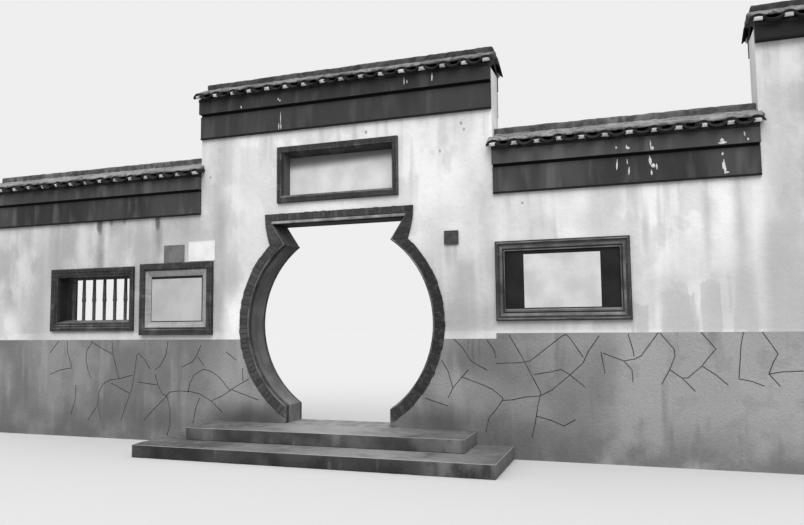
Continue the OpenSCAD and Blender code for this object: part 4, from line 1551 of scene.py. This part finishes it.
deselect()
bpy.ops.mesh.primitive_cylinder_add(
    vertices=16, radius=BAR_R, depth=open_h, location=(0, BAR_Y, (open_low.z + open_high.z) / 2)
)
cane = bpy.context.object
place_in_mesh(cane)
with editing(cane):
    for share, width in BAR_SHAPE:
        bpy.ops.mesh.select_all(action="SELECT")
        bpy.ops.mesh.bisect(plane_co=(0, 0, open_high.z - share * open_h), plane_no=(0, 0, 1))
for share, width in BAR_SHAPE:
    ring_z = open_high.z - share * open_h
    with editing(cane, "EDGE"):
        pick_edges(cane, lambda one, two: max(abs(one.z - ring_z), abs(two.z - ring_z)) < 0.002)
        bpy.ops.transform.resize(value=(width, width, 1), center_override=(0, BAR_Y, ring_z))
smooth(cane, 60)
shifts = [window_mid + (index - BAR_COUNT // 2) * BAR_PITCH for index in range(BAR_COUNT)]
grille = repeat("grille", cane, [Matrix.Translation((shift, 0, 0)) for shift in shifts])
done_with(cane)

head_low = (open_low.x, BAR_Y - HEAD_HALF, open_high.z - 0.030)
head = block("head", head_low, (open_high.x, BAR_Y + HEAD_HALF, open_high.z + 0.004))
bevel(head, 0.005)
keep(joined("grille", [grille, head]), "window_bars", "bar", "dark_timber")

sill_points = [(-0.165, 0.0), (-0.165, 0.010), (-0.02, 0.040), (0.10, 0.040), (0.165, 0.010), (0.165, 0.0)]
sill = profile_run("sill", sill_points, open_low.x, open_high.x, open_low.z - 0.002)
bevel(sill, 0.004)
keep(sill, "window_sill", "bar", "dark_timber")
print("bars:", BAR_COUNT, "at", BAR_PITCH)

# %% [markdown]
# Each board holds a plain sheet, bare of any writing. A sheet of paper or thin metal is never quite flat,
# so it is a fine grid with a slow swell, given its thickness afterwards. The left sheet has a dark line
# round it, the groove that takes its glass, painted near black as shade and wider at the top as painted
# shadow under the casing; the right one lies on the black backing, dark paint with painted shade in its
# recess, with a small ledge under it.

# %% Notice sheets
SHEET_T = 0.003


def sheet(name, x_low, x_high, z_low, z_high, out, bulge):
    """A thin sheet out in front of the wall's face, bulging a little."""
    deselect()
    middle = ((x_low + x_high) / 2, -FACE - out, (z_low + z_high) / 2)
    bpy.ops.mesh.primitive_grid_add(
        x_subdivisions=28, y_subdivisions=20, size=1, location=middle, rotation=(math.radians(90), 0, 0)
    )
    piece = bpy.context.object
    piece.scale = (x_high - x_low, z_high - z_low, 1)
    place_in_mesh(piece)
    swell(piece, clouds(name + "_swell", 0.5), bulge)
    modify(piece, "SOLIDIFY", thickness=SHEET_T, offset=0)
    smooth(piece, 30)
    piece.name = name
    return piece


CASING = 0.074
BACKING = 0.010
LINE_W = 0.011
# The wider dark gap at the top is painted shadow under the casing.
TOP_SHADOW_GAP = 0.024
low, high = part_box("left_board_panel")
groove_y = -FACE - BACKING
groove_low = (low.x + CASING, groove_y - 0.002, low.z + CASING)
groove = block("groove", groove_low, (high.x - CASING, groove_y + 0.004, high.z - CASING))
bevel(groove, 0.001, 1)
keep(groove, "left_sheet_edge", "backing", "dark_timber")
inset_by = CASING + LINE_W
left_sheet = sheet(
    "left_sheet", low.x + inset_by, high.x - inset_by, low.z + inset_by, high.z - inset_by - TOP_SHADOW_GAP,
    BACKING + 0.004, 0.002,
)
keep(left_sheet, "left_sheet", "shaded_glazed_sheet", "notice_paper")

RIGHT_SHEET = (2.332, 3.176, 1.698, 2.307)
LEDGE_H = 0.019
right_sheet = sheet("right_sheet", *RIGHT_SHEET, BACKING + 0.005, 0.004)
keep(right_sheet, "right_sheet", "sheet", "notice_paper")
low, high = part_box("right_board_panel")
ledge = block("ledge", (low.x, -FACE - 0.036, low.z - 0.004), (high.x, -FACE - 0.004, low.z + LEDGE_H))
bevel(ledge, 0.006, 3)
keep(ledge, "right_sheet_ledge", "ledge", "dark_timber")
for piece in (left_sheet, right_sheet):
    print(piece.name, [round(size, 3) for size in piece.dimensions])

# %% [markdown]
# Two small plates lie over the left board: a dark one and a white one, both left bare. A plate is a block
# with its edges rounded and its face set in a little, as an enamelled plate is folded at the rim.

# %% Small plates


def plate(name, low, high, rim, dish):
    """A block from corner to corner whose front is set in, inside a rim."""
    piece = block(name, low, high)
    with editing(piece):
        pick_faces(piece, lambda middle, normal: normal.y < -0.9)
        bpy.ops.mesh.inset(thickness=rim)
        bpy.ops.transform.translate(value=(0, dish, 0))
    bevel(piece, 0.004, 3, 20)
    return piece


DARK_W = 0.326
WHITE_W = 0.414
DARK_H = 0.235
low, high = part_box("small_plaques")
dark_low = (low.x, low.y, low.z)
dark_high = (low.x + DARK_W, high.y, low.z + DARK_H)
dark_plate = plate("dark_plate", dark_low, dark_high, 0.016, 0.003)
keep(dark_plate, "dark_plate", "dark_plate", "plaque", "small_plaques")
white_plate = plate("white_plate", (high.x - WHITE_W, low.y, low.z), high, 0.014, 0.003)
keep(white_plate, "white_plate", "pale_plate", "plaque", "small_plaques")

# %% [markdown]
# The wall box is a small painted steel box with a lid. The lid's edge stands a little proud, and its
# front is set in.

# %% Wall box
LID_T = 0.008
LID_OVER = 0.006
low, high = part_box("wall_box")
body_low = (low.x + LID_OVER, low.y + LID_T, low.z + LID_OVER)
body = block("body", body_low, (high.x - LID_OVER, high.y, high.z - LID_OVER))
bevel(body, 0.008, 3)
lid = plate("lid", low, (high.x, low.y + LID_T, high.z), 0.014, 0.004)
keep(joined("wall_box_lid", [body, lid]), "steel_wall_box", "metal", "box_metal", "wall_box")

# %% [markdown]
# Wet lime fell on the friezes when the roofs were floated, and dried as drops with a tail. One drop is a
# small ball drawn into a tear and pressed flat; copies get their own width and length.

# %% Lime drops on the friezes
UPPER_DROPS = [
    (-1.344, 4.421, 0.022, 0.034), (-0.79, 4.462, 0.016, 0.036), (-0.766, 4.444, 0.022, 0.026),
    (0.94, 4.492, 0.014, 0.1), (0.978, 4.484, 0.01, 0.06), (1.297, 4.505, 0.02, 0.11),
    (3.39, 3.44, 0.022, 0.04), (3.511, 3.42, 0.042, 0.034), (3.496, 3.44, 0.016, 0.04),
    (3.745, 3.44, 0.016, 0.11), (3.765, 3.395, 0.03, 0.04), (4.456, 3.392, 0.085, 0.03),
    (4.452, 3.42, 0.04, 0.04), (4.669, 3.468, 0.016, 0.056), (4.7, 3.405, 0.018, 0.026),
]
LOWER_DROPS = [
    (-0.806, 4.118, 0.012, 0.1), (-0.776, 4.116, 0.012, 0.09), (-0.78, 4.23, 0.01, 0.17),
    (3.39, 3.255, 0.018, 0.13), (3.498, 3.28, 0.014, 0.06), (3.514, 3.175, 0.018, 0.1),
    (3.735, 3.275, 0.03, 0.11), (3.765, 3.215, 0.044, 0.05), (3.8, 3.2, 0.022, 0.07),
    (3.745, 3.14, 0.022, 0.06), (4.456, 3.285, 0.026, 0.036), (4.462, 3.17, 0.03, 0.11),
    (4.475, 3.11, 0.022, 0.09), (4.492, 3.082, 0.04, 0.02),
]

deselect()
bpy.ops.mesh.primitive_uv_sphere_add(segments=14, ring_count=9, radius=0.5)
drop = bpy.context.object
with editing(drop, "VERT"):
    mesh = bmesh.from_edit_mesh(drop.data)
    for corner in mesh.verts:
        corner.select_set(corner.co.z > 0.1)
    mesh.select_flush_mode()
    bmesh.update_edit_mesh(drop.data)
    bpy.ops.transform.resize(value=(0.55, 0.6, 1), center_override=(0, 0, 0.1))


def drop_places(drops, face):
    """Places of drops given by x, z, width and height, each leaning a little."""
    places = []
    for x, z, width, tall in drops:
        lean = Matrix.Rotation(random.uniform(-0.12, 0.12), 4, "Y")
        size = Matrix.Diagonal((width, 0.010, tall, 1))
        places.append(Matrix.Translation((x, face, z)) @ lean @ size)
    return places


upper_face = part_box("centre_upper_frieze")[0].y
lower_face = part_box("centre_lower_frieze")[0].y
drops = repeat("drops", drop, drop_places(UPPER_DROPS, upper_face) + drop_places(LOWER_DROPS, lower_face))
done_with(drop)
swell(drops, clouds("ragged", 0.02), 0.010)
only(drops)
bpy.ops.object.shade_smooth()
keep(drops, "lime_drops", "splash", "lime_mortar")
print("drops:", len(UPPER_DROPS) + len(LOWER_DROPS))
